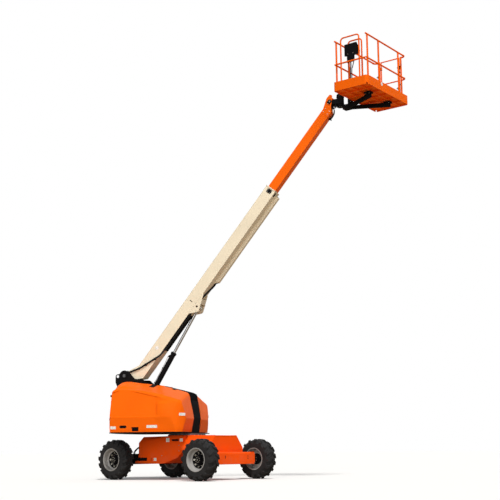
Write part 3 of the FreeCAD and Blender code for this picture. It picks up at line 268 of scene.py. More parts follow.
def rubber_tyre():
    """Tread rubber with dry dust in the low places and a paler bloom."""
    m = Mat("tyre_rubber")
    big = m.noise(5.0, 6.0, 0.7)
    fine = m.noise(90.0, 4.0)
    base = m.ramp(fine, [(0.3, (0.011, 0.011, 0.012)), (0.75, (0.026, 0.026, 0.027))])
    m.link(m.mix(m.span(big, 0.45, 0.75, 0.0, 0.35), base, (0.055, 0.052, 0.050)), m.b.inputs["Base Color"])
    m.link(m.span(big, 0.3, 0.7, 0.62, 0.9), m.b.inputs["Roughness"])
    m.bump(fine, 0.35, 0.0015)
    m.set(Specular_IOR_Level=0.15)
    return m.m


ORANGE = (0.93, 0.140, 0.004)
# redder copy of ORANGE for the chassis, its nose, the axle beam and its end plates: painted shade, as these
# parts bear the same paint as the rest
ORANGE_SHADED_LOWER = (0.97, 0.092, 0.004)
CREAM = (0.84, 0.75, 0.58)
BLACK = (0.009, 0.009, 0.010)
# every material of the scene under its name, which is the slot of the record that it dresses where there is
# one
MATS = {}


def add(maker, name, *values, **named):
    """Make a material and keep it under its name."""
    MATS[name] = maker(name, *values, **named)


def make_materials():
    add(paint, "orange_paint", ORANGE)
    # redder copy of the orange paint with painted shade for the lower parts, with dust low down
    add(paint, "orange_lower", ORANGE_SHADED_LOWER, 0.4, 0.2, 0.2, dust=0.9)
    add(paint, "orange_shell", ORANGE, 0.28, 0.16, 0.12)
    add(paint, "cream_paint", CREAM, 0.38)
    add(paint, "black_paint", BLACK, 0.5, 0.03, level=0.005)
    add(paint, "panel_grey", (0.20, 0.21, 0.22), 0.42)
    add(paint, "weld_cream", shade(CREAM, 0.9), 0.5)
    add(paint, "weld_orange", shade(ORANGE, 0.9), 0.5)
    add(metal, "bare_steel", (0.52, 0.52, 0.53))
    add(metal, "zinc", (0.36, 0.345, 0.30), 0.42, (3.0, 3.0, 3.0))
    add(metal, "pin_steel", (0.10, 0.10, 0.105), 0.45, (3.0, 3.0, 3.0))
    add(plain, "cast_grey", (0.09, 0.09, 0.10), 0.6)
    add(metal, "chrome_rod", (0.42, 0.42, 0.43), 0.22, (1.0, 1.0, 12.0), 0.05)
    add(plain, "pad_plastic", (0.75, 0.73, 0.68), 0.5)
    add(plain, "blank_white", (0.78, 0.78, 0.76), 0.42, 30.0, 0.05)
    add(plain, "black_plastic", (0.008, 0.008, 0.009), 0.5, level=0.005)
    add(plain, "knob_red", (0.55, 0.012, 0.010), 0.35, 30.0, 0.05)
    add(plain, "lens", (0.55, 0.16, 0.02), 0.2, 20.0, 0.05)
    add(plain, "hose_rubber", (0.011, 0.011, 0.012), 0.55, 80.0, 0.35, 0.15)
    MATS["tyre_rubber"] = rubber_tyre()
    add(paint, "rim_silver", (0.33, 0.325, 0.315), 0.38, 0.3, 0.2, level=0.4)


# CAD nodes that take another material than the one named after their slot; the chassis, its nose and the
# axle beam take the redder orange that paints their shade
OTHERWISE = {"chassis_frame": "orange_lower", "chassis_nose": "orange_lower",
        "front_axle_beam": "orange_lower", "swing_bearing": "pin_steel", "boom_pivot_pin": "pin_steel",
        "level_pin": "pin_steel"}


def dress_cad():
    """Give each CAD node the material of its slot."""
    for node, obj in frame["nodes"].items():
        mat = MATS[OTHERWISE.get(node, SLOTS[node])]
        if obj.material_slots:
            for slot in obj.material_slots:
                slot.material = mat
        else:
            obj.data.materials.append(mat)


# ---------------------------------------------------------------- mesh pieces
def turn_to(out, up=None):
    """Rotation whose Z points along out, and whose Y points near up."""
    z = Vector(out).normalized()
    hint = Vector(up) if up else (X if abs(z.x) < 0.9 else Y)
    x = hint.cross(z).normalized() if up else z.cross(hint).normalized()
    return Matrix((x, z.cross(x), z)).transposed().to_4x4()


LEAST = 1e-4  # radius that stands for none
SHARP = math.radians(35)  # edges over this angle are hard and take the bevel
BURIED = 0.003  # depth of a patch below the surface that it follows


class Piece:
    """One mesh made of simple forms, drawn in its body's frame and riding on that body."""

    made = []  # every piece, in the order of drawing

    def __init__(self, name, body, mat, bevel=0.001, place=None):
        self.name, self.body, self.mat, self.bevel = name, body, mat, bevel
        self.place = FRAMES.get(body, ROW) if place is None else place
        self.bm = bmesh.new()
        Piece.made.append(self)

    def block(self, lo, hi):
        lo, hi = Vector(lo), Vector(hi)
        size = hi - lo
        m = Matrix.Translation((lo + hi) / 2) @ Matrix.Diagonal((*size, 1.0))
        bmesh.ops.create_cube(self.bm, size=1.0, matrix=m)

    def slab(self, at, out, size, up=None, radius=0.0):
        """Plate on a surface: its size is width, height and thickness, its corners may be round."""
        w, h, t = size
        m = Matrix.Translation(Vector(at)) @ turn_to(out, up)
        r = max(radius, LEAST)
        ring = []
        for cx, cy, start in ((1, 1, 0), (-1, 1, 90), (-1, -1, 180), (1, -1, 270)):
            for step in range(5 if radius else 1):
                a = math.radians(start + step * 22.5 + (0 if radius else 45))
                ring.append((cx * (w / 2 - r) + r * math.cos(a), cy * (h / 2 - r) + r * math.sin(a)))
        self.skin([[self.bm.verts.new(m @ Vector((x, y, z))) for x, y in ring] for z in (0, t)], True, True)

    def skin(self, rings, closed, caps):
        """Faces between rings of equal length."""
        for a, b in zip(rings, rings[1:]):
            n = len(a)
            for i in range(n if closed else n - 1):
                k = (i + 1) % n
                self.bm.faces.new((a[i], a[k], b[k], b[i]))
        if caps:
            self.bm.faces.new(list(reversed(rings[0])))
            self.bm.faces.new(rings[-1])

    def circle(self, m, r, h, sides, shift=0.0):
        """Points of a circle at a height over the plane of a matrix."""
        turns = [2 * math.pi * (i + shift) / sides for i in range(sides)]
        return [self.bm.verts.new(m @ Vector((r * math.cos(a), r * math.sin(a), h))) for a in turns]

    def lathe(self, at, out, profile, sides=32):
        """Closed outline of radius and height, turned about a direction."""
        m = Matrix.Translation(Vector(at)) @ turn_to(out)
        rings = [self.circle(m, max(r, LEAST), h, sides) for r, h in profile]
        if profile[0][0] > LEAST:
            self.skin(rings + rings[:1], True, False)
        else:
            self.skin(rings, True, True)

    def ring(self, at, out, inner, outer, low, high, sides):
        """Square-edged ring between two radii and two heights; a disc where the inner radius is 0."""
        self.lathe(at, out, [(inner, low), (outer, low), (outer, high), (inner, high)], sides)

    def bolt(self, at, out, size=0.012, turn=0.0):
        """Hexagon head of a width across corners of twice size, on a washer."""
        m = Matrix.Translation(Vector(at)) @ turn_to(out) @ Matrix.Rotation(turn, 4, "Z")
        for sides, r, h0, h1 in ((16, 1.35, -0.1, 0.22), (6, 1.0, 0.2, 0.95), (12, 0.55, 0.9, 1.15)):
            self.skin([self.circle(m, r * size, h * size, sides, 0.5) for h in (h0, h1)], True, True)

    def sweep(self, points, radius, sides=10, smooth=True, ripple=0.0):
        """Tube along points, on a smooth curve where asked, of an uneven radius where ripple is set."""
        path = smooth_path(points) if smooth else [Vector(p) for p in points]
        rings = []
        last = None
        for i, p in enumerate(path):
            ahead = (path[min(i + 1, len(path) - 1)] - path[max(i - 1, 0)]).normalized()
            if last is None:
                side = ahead.cross(Z if abs(ahead.z) < 0.9 else X).normalized()
            else:
                side = (last - ahead * last.dot(ahead)).normalized()
            last = side
            other = ahead.cross(side)
            r = radius * (1.0 + ripple * (0.5 * (i % 2) + 0.35 * random.random()))
            turns = [2 * math.pi * k / sides for k in range(sides)]
            rings.append([self.bm.verts.new(p + side * r * math.cos(a) + other * r * math.sin(a))
                    for a in turns])
        self.skin(rings, True, True)

    def weld(self, a, b, radius=0.0035, pitch=0.012):
        """Bead with ripples along a straight seam."""
        a, b = Vector(a), Vector(b)
        count = max(2, int((b - a).length / pitch))
        self.sweep([a.lerp(b, i / count) for i in range(count + 1)], radius, 6, False, 0.16)

    def hose(self, points, radius):
        """Hose with a crimped fitting at each end."""
        self.sweep(points, radius, 12)
        for a, b in ((points[0], points[1]), (points[-1], points[-2])):
            way = (Vector(b) - Vector(a)).normalized()
            r = radius
            self.lathe(a, way, [(0.0, -r), (1.3 * r, -r), (1.3 * r, 0.6 * r), (1.15 * r, 0.6 * r),
                    (1.15 * r, r), (1.3 * r, r), (1.3 * r, 3 * r), (0.0, 3 * r)], 12)

    def patch(self, node, start, along, across, way, counts, rise):
        """Skin that follows a CAD node under a grid of rays and stands over it by rise(u, v)."""
        start, along, across = Vector(start), Vector(along), Vector(across)
        top, low = [], []
        for i in range(counts[0] + 1):
            u = i / counts[0]
            top.append([])
            low.append([])
            for k in range(counts[1] + 1):
                v = k / counts[1]
                at, out = touch(node, self.place, start + along * u + across * v, way)
                top[i].append(self.bm.verts.new(at + out * rise(u, v)))
                low[i].append(self.bm.verts.new(at - out * BURIED))
        for grid in (top, low):
            for a, b in zip(grid, grid[1:]):
                for k in range(counts[1]):
                    self.bm.faces.new((a[k], a[k + 1], b[k + 1], b[k]))
        rows, columns = counts
        edge = [(0, k) for k in range(columns)] + [(i, columns) for i in range(rows)]
        edge += [(rows, k) for k in range(columns, 0, -1)] + [(i, 0) for i in range(rows, 0, -1)]
        for (i, k), (m, n) in zip(edge, edge[1:] + edge[:1]):
            self.bm.faces.new((top[i][k], top[m][n], low[m][n], low[i][k]))

    def done(self):
        """Turn the drawing into an object of the scene."""
        bmesh.ops.recalc_face_normals(self.bm, faces=self.bm.faces)
        for e in self.bm.edges:
            e.smooth = len(e.link_faces) == 2 and e.calc_face_angle(0.0) < SHARP
        for f in self.bm.faces:
            f.smooth = True
        mesh = bpy.data.meshes.new(self.name)
        self.bm.to_mesh(mesh)
        self.bm.free()
        obj = bpy.data.objects.new(self.name, mesh)
        bpy.context.scene.collection.objects.link(obj)
        obj.matrix_world = self.place
        mesh.materials.append(MATS[self.mat])
        if self.bevel:
            mod = obj.modifiers.new("bevel", "BEVEL")
            mod.width = self.bevel
            mod.segments = 2
            mod.limit_method = "ANGLE"
            mod.angle_limit = SHARP
            mod.use_clamp_overlap = True
        bpy.context.view_layer.update()
        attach(obj, self.body)


def smooth_path(points, steps=6):
    """Points of a Catmull-Rom curve through the given ones."""
    p = [Vector(v) for v in points]
    p = [p[0] * 2 - p[1]] + p + [p[-1] * 2 - p[-2]]
    out = []
    for a, b, c, d in zip(p, p[1:], p[2:], p[3:]):
        for i in range(steps):
            t = i / steps
            square, cube = 2 * a - 5 * b + 4 * c - d, 3 * b - a - 3 * c + d
            out.append(0.5 * ((2 * b) + (c - a) * t + square * t * t + cube * t * t * t))
    out.append(p[-2])
    return out


# ---------------------------------------------------------------- wheels
def ring_points(radius, count, start=0):
    """Evenly spaced points of a circle, the first at an angle in radians."""
    turns = [start + 2 * math.pi * i / count for i in range(count)]
    return [(radius * math.cos(a), radius * math.sin(a)) for a in turns]


def wheels():
    for end in ("front", "rear"):
        for hand in ("left", "right"):
            dress_wheel(f"{end}_{hand}", hand == "left")


def dress_wheel(which, left):
    """Pieces of one wheel, drawn with Y outwards."""
    body = f"wheel_{which}"
    turn = Matrix.Identity(4) if left else Matrix.Rotation(math.pi, 4, "Z")
    place = Matrix.Translation(pivot(f"wheel_spin_{which}")) @ turn
    rim, hub, tyre = (f"{part}_{which}" for part in ("rim", "hub", "tyre"))
    _, rim_face, rim_radius = span(rim, place)[1]
    hub_face, edge = (span(node, place)[1].y for node in (hub, tyre))

    # black ring over the rim's dish, from the hub out to the barrel: painted shade of the deep dish
    centre = Piece(f"rim_centre_{which}", body, "black_paint", 0.0008, place=place)
    inner, outer = 0.119, 0.178
    y0, y1 = (touch(rim, place, (r, 0.4, 0), -Y)[0].y for r in (inner + 0.002, outer))
    centre.lathe((0, 0, 0), Y, [(inner, y0 - 0.003), (outer, y1 - 0.003), (outer + 0.002, y1 + 0.003),
            (outer - 0.005, y1 + 0.005), (inner + 0.004, y0 + 0.005)], 72)

    nuts = Piece(f"wheel_nuts_{which}", body, "zinc", 0.0006, place=place)
    for x, z in ring_points(0.148, 9):
        at, out = touch(rim, place, (x, 0.4, z), -Y)
        at += out * 0.004
        nuts.ring(at, out, 0, 0.021, -0.004, 0.003, 16)
        nuts.bolt(at + out * 0.002, out, 0.0135, random.random())
        nuts.lathe(at, out, [(0, 0.012), (0.0065, 0.012), (0.0065, 0.03), (0.005, 0.032), (0, 0.032)], 10)

    cap = Piece(f"hub_cap_{which}", body, "black_paint", place=place)
    cap.lathe((0, hub_face, 0), Y, [(0, -0.004), (0.07, -0.004), (0.07, 0.004), (0.062, 0.008),
            (0.03, 0.008), (0.026, 0.014), (0, 0.014)], 40)
    cap.ring((0, hub_face - 0.055, 0), Y, 0.08, 0.094, 0, 0.012, 48)
    bolts = Piece(f"hub_bolts_{which}", body, "zinc", 0.0005, place=place)
    for x, z in ring_points(0.052, 8, 0.2):
        bolts.bolt((x, hub_face + 0.007, z), Y, 0.0075, random.random())
    bolts.bolt((0, hub_face + 0.013, 0), Y, 0.012)

    lip = Piece(f"rim_lip_{which}", body, "rim_silver", place=place)
    lip.lathe((0, rim_face, 0), Y, [(rim_radius - 0.018, -0.012), (rim_radius - 0.001, -0.012),
            (rim_radius + 0.006, -0.002), (rim_radius + 0.006, 0.004), (rim_radius - 0.002, 0.006),
            (rim_radius - 0.01, 0)], 72)
    for height in (0.045, 0.1):
        lip.lathe((0, rim_face - height, 0), Y, [(rim_radius - 0.024, -0.004), (rim_radius - 0.012, -0.006),
                (rim_radius - 0.012, 0.006), (rim_radius - 0.024, 0.004)], 64)

    valve = Piece(f"valve_{which}", body, "hose_rubber", 0, place=place)
    at, out = touch(rim, place, (0, 0.4, 0.198), -Y)
    valve.sweep([at - out * 0.01, at + out * 0.012, at + out * 0.025 - Z * 0.008,
            at + out * 0.034 - Z * 0.022], 0.0045, 8)

    side = Piece(f"sidewall_rings_{which}", body, "tyre_rubber", 0, place=place)
    for radius, drop, thick in ((0.262, 0.009, 0.004), (0.285, 0.0075, 0.0025), (0.322, 0.0065, 0.0035)):
        side.lathe((0, edge - drop, 0), Y, [(radius - thick, -0.003), (radius + thick, -0.003),
                (radius + thick * 0.5, thick * 0.7), (radius - thick * 0.5, thick * 0.7)], 96)


# ---------------------------------------------------------------- axles and chassis
def axle_details():
    wheel = pivot("wheel_spin_front_left")
    low, high = span("front_axle_beam")
    caps = Piece("king_pin_caps", "chassis", "black_paint")
    bolts = Piece("king_pin_bolts", "chassis", "zinc", FINE)
    for joint in ("steer_left", "steer_right"):
        at = Vector((pivot(joint).x, pivot(joint).y, high.z + 0.0045))
        caps.lathe(at, Z, [(0, 0), (0.044, 0), (0.044, 0.006), (0.034, 0.012), (0, 0.012)], 32)
        for x, y in ring_points(0.034, 4, 0.6):
            bolts.bolt(at + Vector((x, y, 0.007)), Z, 0.005)
        bolts.sweep([at + Z * 0.01, at + Z * 0.026], 0.004, 8, False)

    seams = Piece("front_axle_welds", "chassis", "weld_orange", 0)
    for x in (low.x + 0.09, high.x):
        at = wheel.x + 0.051 * (1 if x == high.x else -1)
        for side in SIDES:
            seams.weld((at, side * 0.652, low.z + 0.045), (at, side * 0.652, high.z - 0.045), 0.005)

    ends = Piece("axle_end_plates", "chassis", "orange_lower", 0.004)
    reach = pivot("steer_left").y + 0.004
    start = reach - 0.16
    near, far = 0.056, high.x - wheel.x - 0.0005
    for x0, x1 in ((wheel.x + near, wheel.x + far), (wheel.x - far, wheel.x - near)):
        for side in SIDES:
            outline = [(start, low.z), (reach - 0.035, low.z), (reach, low.z + 0.045),
                    (reach, high.z - 0.05), (reach - 0.04, high.z), (start, high.z)]
            rings = [[ends.bm.verts.new((x, side * y, z)) for y, z in outline] for x in (x0, x1)]
            ends.skin(rings, True, True)
    # thin black sheets on the beam's front face: painted shade inside its slots
    slot_shades = Piece("axle_beam_slot_shades", "chassis", "black_plastic", 0)
    for y, z, w, h in ((-0.247, 0.485, 0.02, 0.06), (0.541, 0.5, 0.024, 0.02), (0.541, 0.452, 0.02, 0.026)):
        slot_shades.slab((high.x, y, z), X, (w, h, LABEL), Z, 0.009)


def steering_details():
    low, high = span("steering_cylinder")
    mid_x = pivot("steer_left").x - STEER_ARM
    mid_z = (low.z + high.z) / 2
    glands = Piece("steering_glands", "chassis", "black_paint")
    for side in SIDES:
        glands.lathe((mid_x, side * (high.y - 0.002), mid_z), Y * side,
                [(0.0195, 0), (0.041, 0), (0.041, 0.022), (0.034, 0.028), (0.0195, 0.028)], 32)
        glands.block((mid_x - 0.012, side * (high.y - 0.05) - 0.012, high.z - 0.008),
                (mid_x + 0.012, side * (high.y - 0.05) + 0.012, high.z + 0.014))
    hoses = Piece("steering_hoses", "chassis", "hose_rubber", 0)
    for side in SIDES:
        start = Vector((mid_x, side * (high.y - 0.05), high.z + 0.014))
        hoses.hose([start, start + Vector((-0.01, 0, 0.06)), start + Vector((-0.08, -side * 0.08, 0.15)),
                start + Vector((-0.1, -side * 0.13, 0.22)), (mid_x - 0.11, side * 0.06, 0.66)], 0.009)
    boots = Piece("tie_rod_boots", "tie_bar", "hose_rubber", 0.0005)
    rod = span("tie_rod")[1]
    for side in SIDES:
        boots.lathe((mid_x, side * (rod.y - 0.03), rod.z - 0.006), -Z,
                [(0.031, 0), (0.034, 0.004), (0.031, 0.01), (0.034, 0.016), (0.03, 0.022), (0.022, 0.026),
                (0, 0.026)], 24)
        boots.ring((mid_x, side * (rod.y - 0.1), mid_z), Y * side, 0.018, 0.026, 0, 0.016, 6)


def knuckle_details():
    for hand, side in (("left", 1), ("right", -1)):
        centre = pivot(f"wheel_spin_front_{hand}")
        inner = pivot(f"steer_{hand}")
        bolts = Piece(f"knuckle_bolts_{hand}", f"{hand}_knuckle", "zinc", FINE)
        face = side * (abs(inner.y) + 0.056)
        for x, z in ring_points(0.078, 8, 0.4):
            bolts.bolt((centre.x + x, face, centre.z + z), -Y * side, 0.007)
        eye = Vector((inner.x - STEER_ARM, inner.y - side * 0.04, 0.438))
        bolts.bolt(eye, Z, 0.013)
        ribs = Piece(f"knuckle_ribs_{hand}", f"{hand}_knuckle", "black_paint")
        for x in (-0.034, 0.034):
            ribs.block((centre.x + x - 0.006, min(inner.y, face), 0.39),
                    (centre.x + x + 0.006, max(inner.y, face), 0.53))


def rear_axle_details():
    high = span("rear_drive_axle")[1]
    centre = pivot("wheel_spin_rear_left")
    bolts = Piece("rear_axle_bolts", "chassis", "zinc", FINE)
    plate = Piece("rear_axle_flanges", "chassis", "black_paint")
    for side in SIDES:
        for x, z in ring_points(0.1, 10, 0.1):
            if x < 0.08:
                bolts.bolt((centre.x + x, side * 0.651, centre.z + z), -Y * side, 0.0085)
        motor = Vector((high.x - 0.055, side * 0.506, centre.z + 0.02))
        plate.ring(motor, Y * side, 0, 0.062, -0.006, 0.01, 32)
        plate.ring(motor + Y * side * 0.1, Y * side, 0.054, 0.062, 0, 0.02, 32)
        plate.block(motor + Vector((-0.024, -0.03 + side * 0.055, 0.05)),
                motor + Vector((0.024, 0.03 + side * 0.055, 0.08)))
    hoses = Piece("travel_motor_hoses", "chassis", "hose_rubber", 0)
    for side in SIDES:
        for shift in (-0.016, 0.016):
            start = Vector((high.x - 0.055, side * 0.561 + shift, centre.z + 0.099))
            hoses.hose([start, start + Z * 0.06, start + Vector((0.03, -side * 0.05, 0.13)),
                    start + Vector((0.03, -side * 0.15, 0.17)),
                    (high.x + 0.03, side * 0.36 + shift, centre.z + 0.2)], 0.01)


def chassis_details():
    seat = span("swing_bearing")
    radius = seat[1].x + 0.008
    bolts = Piece("bearing_bolts", "chassis", "zinc", FINE)
    for x, y in ring_points(radius, 28):
        bolts.bolt((x, y, seat[0].z), Z, 0.0085, random.random())

    side_y = span("chassis_frame")[1].y
    plates = Piece("chassis_blank_plates", "chassis", "blank_white", FINEST)
    rivets = Piece("chassis_fasteners", "chassis", "zinc", FINE)
    for x, z, w, h in ((-0.13, 0.858, 0.1, 0.085), (0.265, 0.852, 0.085, 0.065),
            (-0.5, 0.437, 0.085, 0.065)):
        plates.slab((x, -side_y, z), -Y, (w, h, LABEL), Z, 0.006)
    for side in SIDES:
        for x, z in ((0.2, 0.62), (0.2, 0.74), (-0.3, 0.52)):
            rivets.bolt((x, side * side_y, z), Y * side, 0.008)
    strips = Piece("chassis_dark_plates", "chassis", "black_plastic", FINEST)
    for x, z, w, h in ((-0.89, 0.44, 0.3, 0.07), (-0.615, 0.437, 0.012, 0.07), (0.09, 0.852, 0.2, 0.044)):
        strips.slab((x, -side_y, z), -Y, (w, h, LABEL), Z, 0.005)

    nose_low, nose_high = span("chassis_nose")
    seams = Piece("chassis_welds", "chassis", "weld_orange", 0)
    for side in SIDES:
        seams.weld((nose_low.x + 0.002, side * 0.372, nose_high.z + 0.001),
                (nose_high.x, side * 0.372, nose_high.z + 0.001), 0.004)
        seams.weld((-0.95, side * side_y, 0.372), (-0.36, side * side_y, 0.372), 0.005)
    seams.weld((nose_high.x + 0.001, -0.35, 0.925), (nose_high.x + 0.001, 0.35, 0.925), 0.005)

    skirt = Piece("nose_skirt", "chassis", "orange_lower", 0.003)
    reach = nose_high.y - 0.002
    outline = [(-reach, nose_high.z - 0.3), (-reach, 0.56), (-0.42, 0.47), (0.42, 0.47), (reach, 0.56),
            (reach, nose_high.z - 0.3)]
    rings = [[skirt.bm.verts.new((x, y, z)) for y, z in outline] for x in (nose_high.x - 0.03,
            nose_high.x - 0.004)]
    skirt.skin(rings, True, True)


# ---------------------------------------------------------------- turntable
def turntable_details():
    deck_low, _ = span("turntable_frame", TURN)
    cheek_out = abs(span("boom_pivot_pin", TURN)[0].y) - 0.012
    pin = TURN.inverted() @ pivot("boom_lift")

    keepers = Piece("pivot_pin_keepers", "turntable", "black_paint")
    bolts = Piece("cheek_bolts", "turntable", "black_paint", FINE)
    for side in SIDES:
        keepers.lathe((pin.x, side * cheek_out, pin.z), Y * side,
                [(0.035, 0), (0.06, 0), (0.06, 0.006), (0.0355, 0.006)], 40)
        keepers.slab((pin.x + 0.052, side * (cheek_out + 0.007), pin.z), Y * side, (0.1, 0.03, 0.008), X,
                0.006)
        for x in (0.04, 0.086):
            bolts.bolt((pin.x + x, side * (cheek_out + 0.014), pin.z), Y * side, 0.008)
        bolts.bolt((pin.x, side * (cheek_out + 0.011), pin.z), Y * side, 0.006)
        for x, z in ((-1.56, 2.16), (-1.56, 2.24), (-1.05, 2.17), (-0.96, 2.16)):
            bolts.bolt((x, side * cheek_out, z), Y * side, 0.008)

    cover = Piece("front_cover_louvres", "turntable", "black_plastic", 0.0008)
    for i in range(7):
        at, out = touch("turntable_frame", TURN, (0.6, 0, 1.42 + 0.035 * i), -X)
        cover.slab(at, out, (0.26, 0.014, 0.006), Z, 0.006)
    for z in (1.1, 1.3):
        at, out = touch("turntable_frame", TURN, (0.6, 0, z), -X)
        cover.slab(at, out, (0.4, 0.09, 0.003), Z, 0.02)
    for y in (-0.2, 0.2):
        for z in (1.06, 1.27, 1.48, 1.69):
            at, out = touch("turntable_frame", TURN, (0.6, y, z), -X)
            bolts.bolt(at, out, 0.007)

    strip = Piece("deck_edge_strip", "turntable", "hose_rubber", 0)
    low, high = span("hood_right", TURN)
    for y in (-0.27, 0.27):
        strip.sweep([(low.x + 0.05, y, deck_low.z + 0.004), (high.x - 0.07, y, deck_low.z + 0.004)], 0.006,
                8, False)

    valve = Piece("well_manifold", "turntable", "bare_steel", 0.003)
    valve.block((-0.02, -0.228, 1.58), (0.12, -0.1, 1.7))
    valve.block((0, -0.21, 1.7), (0.03, -0.18, 1.74))
    valve.block((0.06, -0.17, 1.7), (0.09, -0.14, 1.73))
    lines = Piece("well_hoses", "turntable", "hose_rubber", 0)
    for i in range(4):
        y = -0.21 + 0.035 * i
        lines.hose([(-0.02, y, 1.62), (-0.1, y, 1.64), (-0.2, y - 0.01, 1.5), (-0.25, y - 0.02, 1.25),
                (-0.26, y - 0.02, 1.03)], 0.01)
    for i in range(3):
        y = -0.19 + 0.04 * i
        lines.hose([(0.03 * i, y, 1.74), (0.02 + 0.03 * i, y, 1.8), (-0.06, y + 0.01, 1.86),
                (-0.2, y + 0.02, 1.78), (-0.32, y + 0.02, 1.55), (-0.36, y + 0.02, 1.03)], 0.009)


def counterweight_details():
    low, high = span("counterweight", TURN)
    caps = Piece("weight_bolt_caps", "turntable", "black_plastic", 0.0006)
    for y in (-0.62, -0.21, 0.21, 0.62):
        for z in (low.z + 0.16, high.z - 0.16):
            at, out = touch("counterweight", TURN, (low.x - BEYOND, y, z), X)
            caps.lathe(at, out, [(0, -0.01), (0.04, -0.01), (0.04, 0.004), (0.034, 0.009), (0, 0.011)], 32)
    eyes = Piece("weight_lifting_eyes", "turntable", "black_paint", 0)
    for y in (-0.7, 0.7):
        eyes.sweep([(-1.47, y - 0.045, high.z - 0.01), (-1.47, y - 0.045, high.z + 0.03),
                (-1.47, y, high.z + 0.065), (-1.47, y + 0.045, high.z + 0.03),
                (-1.47, y + 0.045, high.z - 0.01)], 0.011, 12)


def engine_details():
    low, high = span("engine_block", TURN)
    mid = (low + high) / 2
    top = Piece("engine_top", "turntable", "black_plastic", 0.002)
    top.slab((mid.x, mid.y, high.z), Z, (0.54, 0.22, 0.05), Y, 0.03)
    top.slab((mid.x, mid.y, high.z + 0.05), Z, (0.44, 0.14, 0.012), Y, 0.02)
    top.lathe((low.x + 0.1, low.y + 0.12, high.z + 0.075), X,
            [(0, 0), (0.07, 0), (0.074, 0.01), (0.074, 0.3), (0.064, 0.31), (0.064, 0.34), (0, 0.34)], 40)
    top.lathe((mid.x + 0.16, mid.y, high.z + 0.06), Z, [(0, 0), (0.032, 0), (0.036, 0.006), (0.036, 0.022),
            (0, 0.024)], 12)
    metal_bits = Piece("engine_exhaust", "turntable", "bare_steel", 0.002)
    metal_bits.lathe((low.x + 0.12, high.y - 0.1, high.z + 0.075), X,
            [(0, 0), (0.06, 0.004), (0.066, 0.016), (0.066, 0.384), (0.06, 0.396), (0, 0.4)], 40)
    metal_bits.sweep([(low.x + 0.52, high.y - 0.1, high.z + 0.075),
            (low.x + 0.6, high.y - 0.1, high.z + 0.075), (low.x + 0.64, high.y - 0.1, high.z + 0.02),
            (low.x + 0.64, high.y - 0.1, high.z - 0.1)], 0.022, 14)
    for i in range(5):
        x = low.x + 0.1 + 0.13 * i
        metal_bits.slab((x, high.y, mid.z + 0.14), Y, (0.06, 0.16, 0.012), Z, 0.01)
    ribs = Piece("engine_ribs", "turntable", "cast_grey", 0.002)
    for i in range(9):
        x = low.x + 0.06 + 0.08 * i
        ribs.block((x - 0.006, high.y - 0.002, low.z + 0.03), (x + 0.006, high.y + 0.014, low.z + 0.22))
    ribs.lathe((mid.x - 0.06, high.y, low.z + 0.27), Y,
            [(0, -0.01), (0.045, -0.01), (0.048, 0.02), (0.048, 0.08), (0.042, 0.09), (0, 0.09)], 32)
    drive = Piece("engine_belt_drive", "turntable", "black_paint")
    for y, z, r in ((mid.y, low.z + 0.14, 0.085), (mid.y - 0.14, mid.z + 0.1, 0.05),
            (mid.y + 0.12, mid.z + 0.16, 0.06)):
        drive.lathe((high.x, y, z), X, [(0, -0.01), (r, -0.01), (r, 0.008), (r - 0.01, 0.016), (r, 0.024),
                (r, 0.032), (0.02, 0.032), (0, 0.04)], 36)
    belt = Piece("engine_belt", "turntable", "hose_rubber", 0)
    x = high.x + 0.016
    belt.sweep([(x, mid.y + 0.08, low.z + 0.1), (x, mid.y - 0.07, low.z + 0.08),
            (x, mid.y - 0.19, mid.z + 0.11), (x, mid.y - 0.14, mid.z + 0.155),
            (x, mid.y + 0.12, mid.z + 0.225), (x, mid.y + 0.18, mid.z + 0.16),
            (x, mid.y + 0.09, low.z + 0.13)], 0.006, 8)


def tank_details():
    low, high = span("tanks", TURN)
    caps = Piece("tank_caps", "turntable", "black_plastic")
    for x in (low.x + 0.16, high.x - 0.16):
        caps.lathe((x, low.y + 0.14, high.z), Z, [(0, -0.002), (0.046, -0.002), (0.046, 0.012),
                (0.04, 0.014), (0.04, 0.036), (0.034, 0.042), (0, 0.042)], 16)
    gauge = Piece("tank_gauge", "turntable", "zinc")
    gauge.slab((low.x + 0.3, low.y, (low.z + high.z) / 2), -Y, (0.03, 0.16, 0.012), Z, 0.01)
    for z in (-0.065, 0.065):
        gauge.bolt((low.x + 0.3, low.y - 0.011, (low.z + high.z) / 2 + z), -Y, 0.007)
    lines = Piece("tank_hoses", "turntable", "hose_rubber", 0)
    for i in range(3):
        x = low.x + 0.4 + 0.05 * i
        lines.hose([(x, high.y - 0.1, high.z), (x, high.y - 0.1, high.z + 0.05),
                (x + 0.05, high.y - 0.03, high.z + 0.03), (x + 0.08, high.y + 0.04, high.z - 0.1),
                (x + 0.08, high.y + 0.05, low.z + 0.1)], 0.011)
    controls = Piece("ground_controls", "turntable", "black_plastic", 0.006)
    controls.block((0.02, -0.8, 1.22), (0.12, -0.5, 1.46))
    controls.block((0.05, -0.72, 1.018), (0.09, -0.58, 1.23))
    keys = Piece("ground_control_keys", "turntable", "zinc", FINE)
    for i in range(6):
        keys.lathe((0.02, -0.76 + 0.045 * i, 1.37), -X, [(0, 0), (0.01, 0), (0.01, 0.006), (0.003, 0.008),
                (0.004, 0.024), (0, 0.026)], 14)


# ---------------------------------------------------------------- hoods
def ease(t):
    """Smooth step from 0 to 1."""
    t = min(1.0, max(0.0, t))
    return t * t * (3 - 2 * t)


def crown_rise(u, v):
    """Height of the dome on a hood's roof over its own outline, u and v from 0 to 1."""
    return 0.001 + 0.072 * math.sin(math.pi * u ** 0.55) ** 0.9 * math.sin(math.pi * v) ** 0.75


def side_rise(u, v):
    """Height of the bulge in a hood's side, the same way."""
    return 0.001 + 0.026 * ease(u / 0.15) * ease((1 - u) / 0.6) * ease(v / 0.7) * ease((1 - v) / 0.16)


